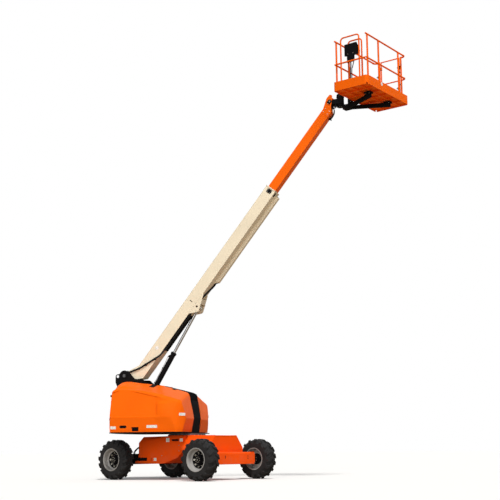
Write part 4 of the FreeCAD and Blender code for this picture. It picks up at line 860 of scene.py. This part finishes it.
def hood_details():
    for hand, side in (("left", 1), ("right", -1)):
        node, body = f"hood_{hand}", f"{hand}_hood"
        low, high = span(node, TURN)
        outer = side * (max(abs(low.y), abs(high.y)) + BEYOND)
        inward = -Y * side

        latch = Piece(f"latch_{hand}", body, "black_plastic", 0.0012)
        at, out = touch(node, TURN, (-0.84, outer, 1.086), inward)
        latch.slab(at, out, (0.148, 0.088, 0.003), Z, 0.01)
        latch.slab(at + X * 0.012 + out * 0.003, out, (0.096, 0.04, 0.008), Z, 0.01)
        latch.lathe(at - X * 0.056 + out * 0.002, out, [(0, 0), (0.011, 0), (0.011, 0.006), (0.008, 0.008),
                (0, 0.008)], 20)

        label = Piece(f"hood_blanks_{hand}", body, "blank_white", FINEST)
        badge = Piece(f"hood_dark_blank_{hand}", body, "black_plastic", FINEST)
        for piece, x, z, w, h in ((label, 0.19, 1.394, 0.17, 0.06), (label, -1.345, 1.118, 0.13, 0.062),
                (badge, -1.115, 1.137, 0.16, 0.06), (label, -0.455, 1.14, 0.24, 0.06)):
            at, out = touch(node, TURN, (x, outer, z), inward)
            piece.slab(at, out, (w, h, 0.001), Z, 0.028 if piece is badge else 0.008)

        pads = Piece(f"hood_rear_stops_{hand}", body, "hose_rubber", 0.002)
        for z in (1.301, 1.805):
            at, out = touch(node, TURN, (low.x - BEYOND, side, z), X)
            pads.slab(at, out, (0.1, 0.045, 0.01), Z, 0.01)

        hinges = Piece(f"hood_hinges_{hand}", body, "black_paint")
        bolts = Piece(f"hood_hinge_bolts_{hand}", body, "zinc", FINE)
        # black sheet laid on the roof where the lift cylinder passes: painted shade of the notch in the
        # roof's inner edge
        notch = Piece(f"hood_roof_notch_shade_{hand}", body, "black_plastic", 0.0006)
        notch.patch(node, (-0.724, side * 0.282, high.z + BEYOND), (0.11, 0, 0), (0, side * 0.25, 0), -Z,
                (3, 8), lambda u, v: 0.004)
        crown = Piece(f"hood_crown_{hand}", body, "orange_shell", 0)
        crown.patch(node, (low.x + 0.045, side * 0.29, high.z + BEYOND), (0.56, 0, 0), (0, side * 0.62, 0),
                -Z, (24, 24), crown_rise)
        bulge = Piece(f"hood_side_bulge_{hand}", body, "orange_shell", 0)
        bulge.patch(node, (-0.388, outer, 1.185), (0.488, 0, 0), (0, 0, 0.515), inward, (28, 20), side_rise)
        for x in (-1.15, -0.2):
            at, out = touch(node, TURN, (x, side * 0.325, high.z + BEYOND), -Z)
            hinges.slab(at, out, (0.095, 0.08, 0.005), X.cross(out), 0.01)
            for dx in (-0.03, 0.03):
                for dy in (-0.018, 0.022):
                    bolt_at, way = touch(node, TURN, (x + dx, side * (0.325 + dy), high.z + BEYOND), -Z)
                    bolts.bolt(bolt_at + way * 0.005, way, 0.006)

        seal = Piece(f"hood_seal_{hand}", body, "hose_rubber", 0)
        for z0 in (1.1, 1.3, 1.5, 1.7):
            pair = [touch(node, TURN, (high.x + BEYOND, side * 0.282, z), -X)[0] for z in (z0, z0 + 0.2)]
            seal.sweep([p - X * 0.002 for p in pair], 0.006, 8, False)


# ---------------------------------------------------------------- boom
def base_details():
    mouth, half, _ = span("boom_base", BOOM)[1]
    tray_low, tray_high = span("boom_hose_tray", BOOM)
    top, bottom = -0.12, tray_high.z

    seams = Piece("boom_welds", "boom_outer", "weld_cream", 0)
    for side in SIDES:
        for z in (top - 0.001, bottom + 0.001):
            seams.weld((0.42, side * (half - 0.001), z), (mouth - 0.01, side * (half - 0.001), z), 0.004,
                    0.014)
        seams.weld((0.385, side * (half + 0.0005), bottom + 0.01),
                (0.385, side * (half + 0.0005), top - 0.01), 0.0045)

    collar = Piece("boom_mouth_collar", "boom_outer", "cream_paint", 0.002)
    for side in SIDES:
        collar.block((mouth - 0.018, side * half - 0.01, bottom - 0.01),
                (mouth, side * half + 0.01, top + 0.01))
    for z in (top, bottom):
        collar.block((mouth - 0.018, -half - 0.01, z - 0.01), (mouth, half + 0.01, z + 0.01))

    plates = Piece("wear_pad_plates", "boom_outer", "black_paint")
    bolts = Piece("boom_bolts", "boom_outer", "zinc", FINE)
    x = mouth - 0.085
    for side in SIDES:
        plates.slab((x, side * half, (top + bottom) / 2), Y * side, (0.1, 0.12, 0.006), Z, 0.008)
        for dx, dz in ((-0.03, -0.04), (0.03, -0.04), (-0.03, 0.04), (0.03, 0.04)):
            bolts.bolt((x + dx, side * (half + 0.006), (top + bottom) / 2 + dz), Y * side, 0.007)
        for z, out in ((top, Z), (bottom, -Z)):
            if side < 0 or z == top:
                plates.slab((x, side * 0.075, z), out, (0.1, 0.08, 0.006), Y, 0.008)
                for dx in (-0.03, 0.03):
                    bolts.bolt((x + dx, side * 0.075, z + out.z * 0.006), out, 0.007)

    heel = Piece("boom_heel_rings", "boom_outer", "cream_paint")
    for side in SIDES:
        heel.lathe((0, side * half, 0), Y * side, [(0.036, 0), (0.066, 0), (0.066, 0.01), (0.058, 0.014),
                (0.036, 0.014)], 44)
        bolts.bolt((0, side * (half + 0.012), 0.052), Y * side, 0.0045)

    pin_low, pin_high = span("lift_rod_pin", BOOM)
    pin = (pin_low + pin_high) / 2
    for side in SIDES:
        bolts.ring((pin.x, side * (pin_high.y - 0.012), pin.z), Y * side, 0.0255, 0.036, 0, 0.006, 28)
        bolts.bolt((pin.x, side * pin_high.y, pin.z), Y * side, 0.007)
        for x, z in ((-0.1, -0.045), (0.1, -0.045), (-0.045, 0.062), (0.045, 0.062)):
            bolts.bolt((pin.x + x, side * half, pin.z + z), Y * side, 0.0065)

    clamps = Piece("hose_clamps", "boom_outer", "black_paint", 0.0008)
    way = Vector((0.51, 0, -0.225)).normalized()
    for t in (0.3, 0.75):
        at = Vector((0.33, -0.19, -0.17)).lerp(Vector((0.84, -0.19, -0.395)), t)
        clamps.ring(at - way * 0.015, way, 0.0202, 0.0245, 0, 0.03, 28)
        clamps.slab(at + Vector((0, 0.0205, 0)), -Y, (0.03, 0.07, 0.004), Z, 0.006)
    for x in (1.3, 1.75):
        clamps.ring((x - 0.016, -0.11, bottom - 0.0203), X, 0.0202, 0.0245, 0, 0.032, 28)
        clamps.slab((x, -0.065, bottom), -Z, (0.032, 0.05, 0.005), Y, 0.006)
        clamps.slab((x, -0.15, bottom), -Z, (0.032, 0.035, 0.005), Y, 0.006)

    blanks = Piece("boom_blank_plates", "boom_outer", "blank_white", FINEST)
    marks = Piece("boom_dark_blanks", "boom_outer", "black_plastic", FINEST)
    for side in SIDES:
        blanks.ring((0.942, side * half, -0.226), Y * side, 0, 0.042, -0.0005, LABEL, 40)
        marks.slab((2.258, side * half, -0.238), Y * side, (0.018, 0.07, LABEL), Z, 0.008)

    under = Piece("boom_under_cover", "boom_outer", "black_plastic", 0.002)
    under.slab((1.485, 0, bottom), -Z, (0.31, 0.99, 0.013), X, 0.02)
    for i in range(9):
        under.slab((1.05 + 0.108 * i, 0, bottom - 0.013), -Z, (0.23, 0.02, 0.003), X, 0.006)

    fill = Piece("tray_hoses", "boom_outer", "hose_rubber", 0.0006)
    mid = (tray_low + tray_high) / 2
    for i in range(4):
        y = tray_low.y + 0.022 + 0.022 * i
        fill.sweep([(tray_low.x + 0.05, y, mid.z), (tray_high.x + 0.008, y, mid.z - 0.006)], 0.01, 10,
                False)
    fill.block((tray_high.x - 0.03, tray_low.y + 0.006, tray_low.z + 0.006),
            (tray_high.x - 0.002, tray_high.y - 0.006, tray_high.z - 0.001))
    screws = Piece("tray_screws", "boom_outer", "zinc", FINEST)
    for i in range(8):
        x = tray_low.x + 0.2 + i * (tray_high.x - tray_low.x - 0.32) / 7
        screws.bolt((x, tray_high.y, tray_high.z - 0.016), Y, 0.005)
        screws.bolt((x, mid.y, tray_low.z), -Z, 0.005)


def fly_details():
    half = span("boom_fly", BOOM)[1].y
    pin = BOOM.inverted() @ pivot("platform_level")
    bolts = Piece("fly_head_bolts", "boom_inner", "zinc", FINE)
    rings = Piece("fly_head_rings", "boom_inner", "black_paint")
    for side in SIDES:
        rings.ring((pin.x, side * half, pin.z), Y * side, 0.0205, 0.046, 0, 0.007, 40)
        rings.slab((pin.x - 0.045, side * (half + 0.007), pin.z), Y * side, (0.09, 0.026, 0.007), X, 0.006)
        bolts.bolt((pin.x - 0.07, side * (half + 0.013), pin.z), Y * side, 0.007)
        bolts.bolt((pin.x, side * (half + 0.01), pin.z), Y * side, 0.006)
        for x, z in ((7.52, -0.19), (7.52, -0.3), (7.6, -0.19), (7.6, -0.3)):
            bolts.bolt((x, side * half, z), Y * side, 0.008)
    seams = Piece("fly_head_welds", "boom_inner", "weld_orange", 0)
    for side in SIDES:
        seams.weld((7.462, side * half, -0.15), (7.462, side * half, -0.34), 0.004)
    guide = Piece("fly_hose_guide", "boom_inner", "black_paint", 0)
    guide.sweep([(7.48, 0.1, -0.345), (7.48, 0.1, -0.385), (7.48, 0.07, -0.405), (7.48, 0.01, -0.405),
            (7.48, -0.02, -0.385), (7.48, -0.02, -0.345)], 0.007, 10)
    lines = Piece("fly_hoses", "boom_inner", "hose_rubber", 0)
    for i in range(3):
        y = 0.075 - 0.028 * i
        lines.sweep([(7.455, y, -0.338), (7.475, y, -0.362), (7.52, y, -0.378), (7.62, y, -0.372),
                (7.7, y, -0.33), (7.74, y, -0.27)], 0.01, 10)


def cylinder_details():
    low, high = span("lift_cylinder_barrel", CYL)
    mouth = low.x
    foot = high.x - 0.052
    gland = Piece("cylinder_gland", "lift_barrel", "black_paint", 0.0012)
    gland.lathe((mouth, 0, 0), X, [(0.0335, -0.004), (0.05, -0.004), (0.056, 0.002), (0.0625, 0.004),
            (0.0625, 0.05), (0.0585, 0.054), (0.0335, 0.054)], 48)
    for y, z in ring_points(0.0625, 6):
        gland.block((mouth + 0.014, y - 0.006, z - 0.006), (mouth + 0.04, y + 0.006, z + 0.006))
    for x0, x1 in ((mouth + 0.1, mouth + 0.15), (foot - 0.16, foot - 0.1)):
        gland.block((x0, -0.022, -0.076), (x1, 0.022, -0.05))
    for x in (mouth + 0.42, mouth + 0.8):
        gland.ring((x, 0, 0), X, 0.0575, 0.0612, 0, 0.022, 48)
        gland.block((x, -0.012, -0.08), (x + 0.022, 0.012, -0.058))
    line = Piece("cylinder_line", "lift_barrel", "bare_steel", 0)
    line.sweep([(mouth + 0.125, 0, -0.07), (mouth + 0.125, 0, -0.084), (mouth + 0.17, 0, -0.086),
            (mouth + 0.4, 0, -0.072), (foot - 0.4, 0, -0.072), (foot - 0.18, 0, -0.086),
            (foot - 0.13, 0, -0.084), (foot - 0.13, 0, -0.07)], 0.006, 10)
    wiper = Piece("rod_eye_rings", "lift_rod", "bare_steel", FINE)
    eye = span("lift_cylinder_rod", CYL)
    for side in SIDES:
        wiper.ring((0, side * (eye[1].y - 0.001), 0), Y * side, 0.0255, 0.034, 0, 0.003, 36)
    wiper.bolt((-0.0445, 0, 0), -X, 0.005)
    wiper.lathe((0.04, 0, 0), X, [(0.0315, 0), (0.038, 0.002), (0.038, 0.012), (0.0315, 0.02)], 36)


# ---------------------------------------------------------------- level head and platform
def level_details():
    low, high = span("platform_rotator")
    turn = pivot("platform_turn")
    pin = BOOM.inverted() @ pivot("platform_level")
    bolts = Piece("level_head_bolts", "level_head", "zinc", FINEST, place=ROW)
    ring = Piece("rotator_rings", "level_head", "black_paint", place=ROW)
    for z in (low.z + 0.045, high.z - 0.06):
        ring.lathe((turn.x, turn.y, z), Z, [(0.082, 0), (0.091, 0.002), (0.091, 0.016), (0.082, 0.018)], 56)
    for x, y in ring_points(0.0865, 12):
        bolts.bolt((turn.x + x, turn.y + y, high.z - 0.042), Z, 0.0035)
    motor = Piece("rotator_motor", "level_head", "cast_grey")
    spot = TURN.inverted() @ turn
    level = TURN.inverted() @ pivot("platform_level")
    mid = (low.z + high.z) / 2
    motor.lathe((spot.x - 0.02, 0.08, mid + 0.02), Y, [(0, 0), (0.038, 0), (0.038, 0.03), (0.032, 0.036),
            (0.032, 0.052), (0, 0.052)], 32)
    lines = Piece("level_head_hoses", "level_head", "hose_rubber", 0)
    for i in range(3):
        y = -0.055 + 0.028 * i
        lines.hose([(spot.x - 0.065, y, mid - 0.075 - 0.014 * i),
                (spot.x - 0.12, y, mid - 0.13 - 0.014 * i), (spot.x - 0.19, y, mid - 0.15 - 0.01 * i),
                (level.x + 0.01, y, level.z - 0.1 - 0.006 * i), (level.x - 0.02, y, level.z - 0.075)],
                0.009)
    screws = Piece("level_pin_bolts", "boom_inner", "zinc", FINEST)
    reach = span("level_pin", BOOM)[1].y - 0.001
    for side in SIDES:
        screws.bolt((pin.x, side * reach, pin.z), Y * side, 0.006)


def clamp_details():
    low, high = span("platform_clamp", PLAT)
    bolts = Piece("platform_clamp_bolts", "platform", "zinc", FINE)
    for x, y in ring_points(0.055, 8, 0.2):
        bolts.bolt((x, y, high.z), Z, 0.0075)
        bolts.bolt((x, y, low.z), -Z, 0.0075)
    for y in (-0.052, 0.052):
        for z in (low.z + 0.06, low.z + 0.15, high.z - 0.15, high.z - 0.06):
            bolts.bolt((high.x, y, z), X, 0.0075)
    cap = Piece("platform_clamp_cap", "platform", "black_paint")
    cap.lathe((0, 0, high.z), Z, [(0, -0.002), (0.036, -0.002), (0.036, 0.008), (0.028, 0.014), (0, 0.014)],
            36)
    seams = Piece("platform_arm_welds", "platform", "weld_orange", 0)
    arms_high = span("platform_arms", PLAT)[1]
    for side in SIDES:
        seams.weld((high.x - 0.001, side * 0.074, low.z - 0.088),
                (high.x - 0.001, side * 0.074, low.z - 0.002), 0.005)
    floor_low, _ = span("platform_floor", PLAT)
    for side in SIDES:
        for x in (arms_high.x - 0.125, arms_high.x - 0.035):
            for y in (-0.045, 0.045):
                bolts.bolt((x, side * 0.42 + y, floor_low.z - 0.045), -Z, 0.008)


def deck_details():
    """Raised tread of the platform's deck; gives the height of the deck."""
    floor_low, floor_high = span("platform_floor", PLAT)
    deck = touch("platform_floor", PLAT, (0.83, 0, floor_high.z + BEYOND), -Z)[0].z
    tread = Piece("deck_tread", "platform", "black_paint", 0)
    low = Vector((floor_low.x + 0.05, floor_low.y + 0.05, 0))
    high = Vector((floor_high.x - 0.05, floor_high.y - 0.05, 0))
    rows, columns = 26, 56
    for i in range(rows):
        for k in range(columns):
            a = math.radians(45 if (i + k) % 2 else -45)
            along = Vector((math.cos(a), math.sin(a), 0)) * 0.0125
            wide = Vector((-math.sin(a), math.cos(a), 0)) * 0.0035
            c = Vector((low.x + (high.x - low.x) * (i + 0.5) / rows,
                    low.y + (high.y - low.y) * (k + 0.5) / columns, deck - 0.0005))
            tips = [tread.bm.verts.new(c + v) for v in (along, wide, -along, -wide)]
            peak = tread.bm.verts.new(c + Z * 0.0025)
            for a, b in zip(tips, tips[1:] + tips[:1]):
                tread.bm.faces.new((a, b, peak))
            tread.bm.faces.new(list(reversed(tips)))
    return deck


RAIL_NEAR, RAIL_FAR, RAIL_SIDE = 0.4345, 1.2255, 0.8755
MID_RAIL = 0.615
POSTS = ((RAIL_FAR, (-0.8155, -0.3414, 0.5428)), (RAIL_NEAR, (-0.8155, -0.2889, 0.2889)))
LEGS = ((0.5545, RAIL_SIDE), (1.1145, RAIL_SIDE), (0.589, -RAIL_SIDE), (1.054, -RAIL_SIDE),
        (0.649, -0.6605), (0.994, -0.6605))


def rail_details(deck):
    floor_low, _ = span("platform_floor", PLAT)
    base = floor_low.z
    rail_top = span("rails_front", PLAT)[1].z - 0.0185
    mid = base + MID_RAIL
    feet = Piece("post_feet", "platform", "orange_paint", 0.0006)
    seams = Piece("post_beads", "platform", "weld_orange", 0.0005)
    screws = Piece("post_screws", "platform", "zinc", FINEST)
    spots = [(x, y) for x, row in POSTS for y in row]
    for x, y in spots + list(LEGS):
        feet.lathe((x, y, deck), Z, [(0.0195, 0), (0.031, 0), (0.031, 0.006), (0.024, 0.009),
                (0.0195, 0.012)], 24)
        for way in (-1, 1):
            shift = Vector((way * 0.026, 0, 0)) if abs(y) > 0.85 else Vector((0, way * 0.026, 0))
            screws.bolt(Vector((x, y, deck + 0.0055)) + shift, Z, 0.003)
    bead = [(0.0195, 0), (0.0232, 0.002), (0.0232, 0.005), (0.0195, 0.008)]
    for x, y in spots:
        for z in (mid - 0.0255, mid + 0.0175, rail_top - 0.0255):
            seams.lathe((x, y, z), Z, bead, 20)

    sleeves = Piece("rail_sleeves", "platform", "orange_paint", 0.0006)
    for z in (mid, rail_top):
        for x in (RAIL_NEAR, RAIL_FAR):
            sleeves.ring((x, 0.766, z), Y, 0.0187, 0.0215, 0, 0.056, 28)

    rings = Piece("lanyard_rings", "platform", "black_paint", 0.0006)
    for x, way, y in ((RAIL_NEAR, 1, -0.2889), (RAIL_NEAR, 1, 0.2889), (RAIL_FAR, -1, -0.3414),
            (RAIL_FAR, -1, 0.5428)):
        at = Vector((x + way * 0.0185, y, base + 0.3))
        rings.slab(at, X * way, (0.04, 0.06, 0.005), Z, 0.006)
        hoop = [at + Vector((way * (0.004 + 0.03 * math.sin(math.radians(t))),
                0.03 * math.cos(math.radians(t)), 0)) for t in range(-20, 201, 20)]
        rings.sweep(hoop, 0.005, 10, False)

    sign = Piece("toe_board_blank", "platform", "blank_white", 0, place=ROW)
    at, out = touch("platform_floor", ROW, (6, 1.13, 8.495), -X)
    sign.ring(at, out, 0, 0.04, -0.0005, LABEL, 40)


def console_details(deck):
    low, high = span("control_console", PLAT)
    mid_x = (low.x + high.x) / 2
    out = Vector((0, 1, 1)).normalized()
    up = Vector((0, -1, 1)).normalized()

    def on_face(x, rise):
        """Point on the sloping face, rise metres up it from its middle."""
        begin = Vector((x, low.y + 0.09, high.z - 0.07)) + up * rise + out * 0.2
        return touch("control_console", PLAT, begin, -out)[0]

    panel = Piece("console_panel", "platform", "panel_grey", 0.0005)
    panel.slab(on_face(mid_x, 0), out, (0.275, 0.15, 0.002), up, 0.01)
    gaiters = Piece("console_gaiters", "platform", "hose_rubber", 0)
    sticks = Piece("console_sticks", "platform", "black_plastic", 0)
    for x in (low.x + 0.062, high.x - 0.062):
        at = on_face(x, -0.012) + out * 0.002
        gaiters.lathe(at, out, [(0, 0), (0.034, 0), (0.034, 0.004), (0.026, 0.008), (0.029, 0.013),
                (0.021, 0.018), (0.023, 0.023), (0.014, 0.029), (0.015, 0.034), (0.007, 0.042), (0, 0.042)],
                28)
        sticks.lathe(at, out, [(0, 0.038), (0.0055, 0.038), (0.0055, 0.052), (0.011, 0.058), (0.014, 0.07),
                (0.014, 0.094), (0.01, 0.102), (0, 0.104)], 24)
    red = Piece("console_stop", "platform", "knob_red", 0.0005)
    red.lathe(on_face(mid_x, -0.03) + out * 0.002, out, [(0, 0), (0.01, 0), (0.01, 0.014), (0.02, 0.017),
            (0.021, 0.026), (0.017, 0.031), (0, 0.032)], 32)
    toggles = Piece("console_toggles", "platform", "zinc", FINEST)
    for i in range(7):
        at = on_face(mid_x + 0.036 * (i - 3), 0.048) + out * 0.002
        toggles.lathe(at, out, [(0, 0), (0.008, 0), (0.008, 0.004), (0.0035, 0.006), (0.0025, 0.008),
                (0.0035, 0.022), (0, 0.024)], 12)
    for dx in (-0.13, 0.13):
        for rise in (-0.066, 0.066):
            toggles.bolt(on_face(mid_x + dx, rise) + out * 0.002, out, 0.0035)
    lamps = Piece("console_lamps", "platform", "lens", 0)
    for dx in (-0.03, 0, 0.03):
        lamps.lathe(on_face(mid_x + dx, 0.015) + out * 0.002, out,
                [(0, 0), (0.006, 0), (0.006, 0.003), (0.004, 0.006), (0, 0.007)], 16)
    cable = Piece("console_cable", "platform", "hose_rubber", 0)
    cable.hose([(mid_x - 0.04, -0.79, high.z - 0.262), (mid_x - 0.04, -0.79, high.z - 0.33),
            (mid_x - 0.02, -0.815, high.z - 0.5), (mid_x - 0.02, -0.835, deck + 0.4),
            (mid_x - 0.02, -0.845, deck + 0.15), (mid_x - 0.02, -0.845, deck + 0.012)], 0.013)
    cable.hose([(mid_x + 0.05, -0.79, high.z - 0.262), (mid_x + 0.05, -0.79, high.z - 0.36),
            (mid_x + 0.02, -0.82, high.z - 0.55), (mid_x + 0.015, -0.835, deck + 0.4),
            (mid_x + 0.015, -0.845, deck + 0.15), (mid_x + 0.015, -0.845, deck + 0.012)], 0.01)
    clips = Piece("console_bolts", "platform", "zinc", FINEST)
    for x in (low.x + 0.085, high.x - 0.085):
        for z in (low.z + 0.05, low.z + 0.2):
            clips.bolt((x, low.y, z), -Y, 0.006)

    pedal = Piece("foot_switch", "platform", "black_paint", 0.004)
    pedal.block((mid_x - 0.075, -0.56, deck), (mid_x + 0.075, -0.36, deck + 0.02))
    pedal.sweep([(mid_x - 0.075, -0.55, deck + 0.015), (mid_x - 0.075, -0.52, deck + 0.1),
            (mid_x - 0.05, -0.51, deck + 0.12), (mid_x + 0.05, -0.51, deck + 0.12),
            (mid_x + 0.075, -0.52, deck + 0.1), (mid_x + 0.075, -0.55, deck + 0.015)], 0.008, 10, False)
    plate = Piece("foot_switch_plate", "platform", "hose_rubber")
    plate.slab((mid_x, -0.45, deck + 0.03), Vector((0, 0.22, 1)), (0.11, 0.15, 0.01), Y, 0.012)
    for i in range(6):
        y = -0.505 + 0.022 * i
        fall = (y + 0.45) * 0.22
        plate.block((mid_x - 0.045, y - 0.003, deck + 0.04 - fall),
                (mid_x + 0.045, y + 0.003, deck + 0.0455 - fall))


def gate_details():
    low, high = span("platform_gate", PLAT)
    y = (low.y + high.y) / 2
    hinges = Piece("gate_collars", "gate", "black_paint", FINE)
    axis_x = low.x + 0.014
    base = span("platform_floor", PLAT)[0].z
    for z in (base + 0.42 - 0.0105, base + 0.46 + 0.0045, base + 0.98 - 0.0105, base + 1.02 + 0.0045):
        hinges.ring((axis_x, y, z), Z, 0.0135, 0.021, 0, 0.006, 28)
    latch = Piece("gate_latch", "gate", "black_plastic", 0.004)
    x = high.x - 0.014
    latch.block((x - 0.025, y - 0.024, base + 0.885), (x + 0.024, y + 0.024, base + 0.965))
    latch.slab((x - 0.02, y - 0.024, base + 0.925), -Y, (0.05, 0.028, 0.01), Z, 0.01)
    stop = Piece("gate_buffers", "gate", "hose_rubber", 0)
    for z in (base + 0.5, base + 0.8):
        stop.lathe((x, y, z), Z, [(0.0135, 0), (0.0175, 0.002), (0.0175, 0.03), (0.0135, 0.032)], 24)
    beads = Piece("gate_beads", "gate", "weld_orange", FINE)
    for px, way in ((axis_x, 1), (x, -1)):
        beads.lathe((px + way * 0.0125, y, base + MID_RAIL), X * way,
                [(0.0135, 0), (0.0175, 0.001), (0.0175, 0.004), (0.0135, 0.007)], 20)


# ---------------------------------------------------------------- room
FLOOR_GLOW, WORLD_LIGHT = 0.08, 0.24
# name, strength, softness, tilt from overhead and turn about Z of each lamp, angles in degrees
LAMPS = (("key", 2.4, 11, 33, 55), ("fill", 1.7, 50, 82, 32))


def room():
    """Pale floor and white surroundings, as the camera sees them, and the light of the photo."""
    bpy.ops.mesh.primitive_plane_add(size=400.0, location=(0, 0, 0))
    floor = bpy.context.object
    floor.name = "floor"
    m = Mat("floor")
    m.set(Roughness=0.9, Specular_IOR_Level=0.0, Emission_Color=(1, 1, 1, 1))
    seen = m.t.nodes.new("ShaderNodeLightPath").outputs["Is Camera Ray"]
    m.link(m.mix(seen, (0.48, 0.40, 0.31), (0.97, 0.97, 0.96)), m.b.inputs["Base Color"])
    m.link(m.times(seen, FLOOR_GLOW), m.b.inputs["Emission Strength"])
    floor.data.materials.append(m.m)

    world = bpy.data.worlds.new("studio")
    bpy.context.scene.world = world
    world.use_nodes = True
    t = world.node_tree
    t.nodes.clear()
    out = t.nodes.new("ShaderNodeOutputWorld")
    light, white = (t.nodes.new("ShaderNodeBackground") for _ in range(2))
    light.inputs["Color"].default_value = (0.97, 0.98, 1.0, 1)
    light.inputs["Strength"].default_value = WORLD_LIGHT
    white.inputs["Color"].default_value = (1, 1, 1, 1)
    path = t.nodes.new("ShaderNodeLightPath")
    rays = path.outputs["Is Camera Ray"]
    for name in ("Is Glossy Ray", "Is Transmission Ray"):
        most = t.nodes.new("ShaderNodeMath")
        most.operation = "MAXIMUM"
        t.links.new(rays, most.inputs[0])
        t.links.new(path.outputs[name], most.inputs[1])
        rays = most.outputs[0]
    mix = t.nodes.new("ShaderNodeMixShader")
    t.links.new(rays, mix.inputs[0])
    t.links.new(light.outputs[0], mix.inputs[1])
    t.links.new(white.outputs[0], mix.inputs[2])
    t.links.new(mix.outputs[0], out.inputs["Surface"])

    for name, energy, soft, tilt, turn in LAMPS:
        sun = bpy.data.lights.new(name, "SUN")
        sun.energy = energy
        sun.angle = math.radians(soft)
        sun.color = (1.0, 0.98, 0.95)
        lamp = bpy.data.objects.new(name, sun)
        lamp.rotation_euler = Euler((math.radians(tilt), 0.0, math.radians(turn)))
        bpy.context.scene.collection.objects.link(lamp)


for step in (look, make_materials, dress_cad, room, wheels, axle_details, steering_details, knuckle_details,
        rear_axle_details, chassis_details, turntable_details, counterweight_details, engine_details,
        tank_details, hood_details, base_details, fly_details, cylinder_details, level_details,
        clamp_details):
    step()
DECK = deck_details()
rail_details(DECK)
console_details(DECK)
gate_details()
for piece in Piece.made:
    piece.done()

bpy.context.scene.view_settings.view_transform = "Standard"
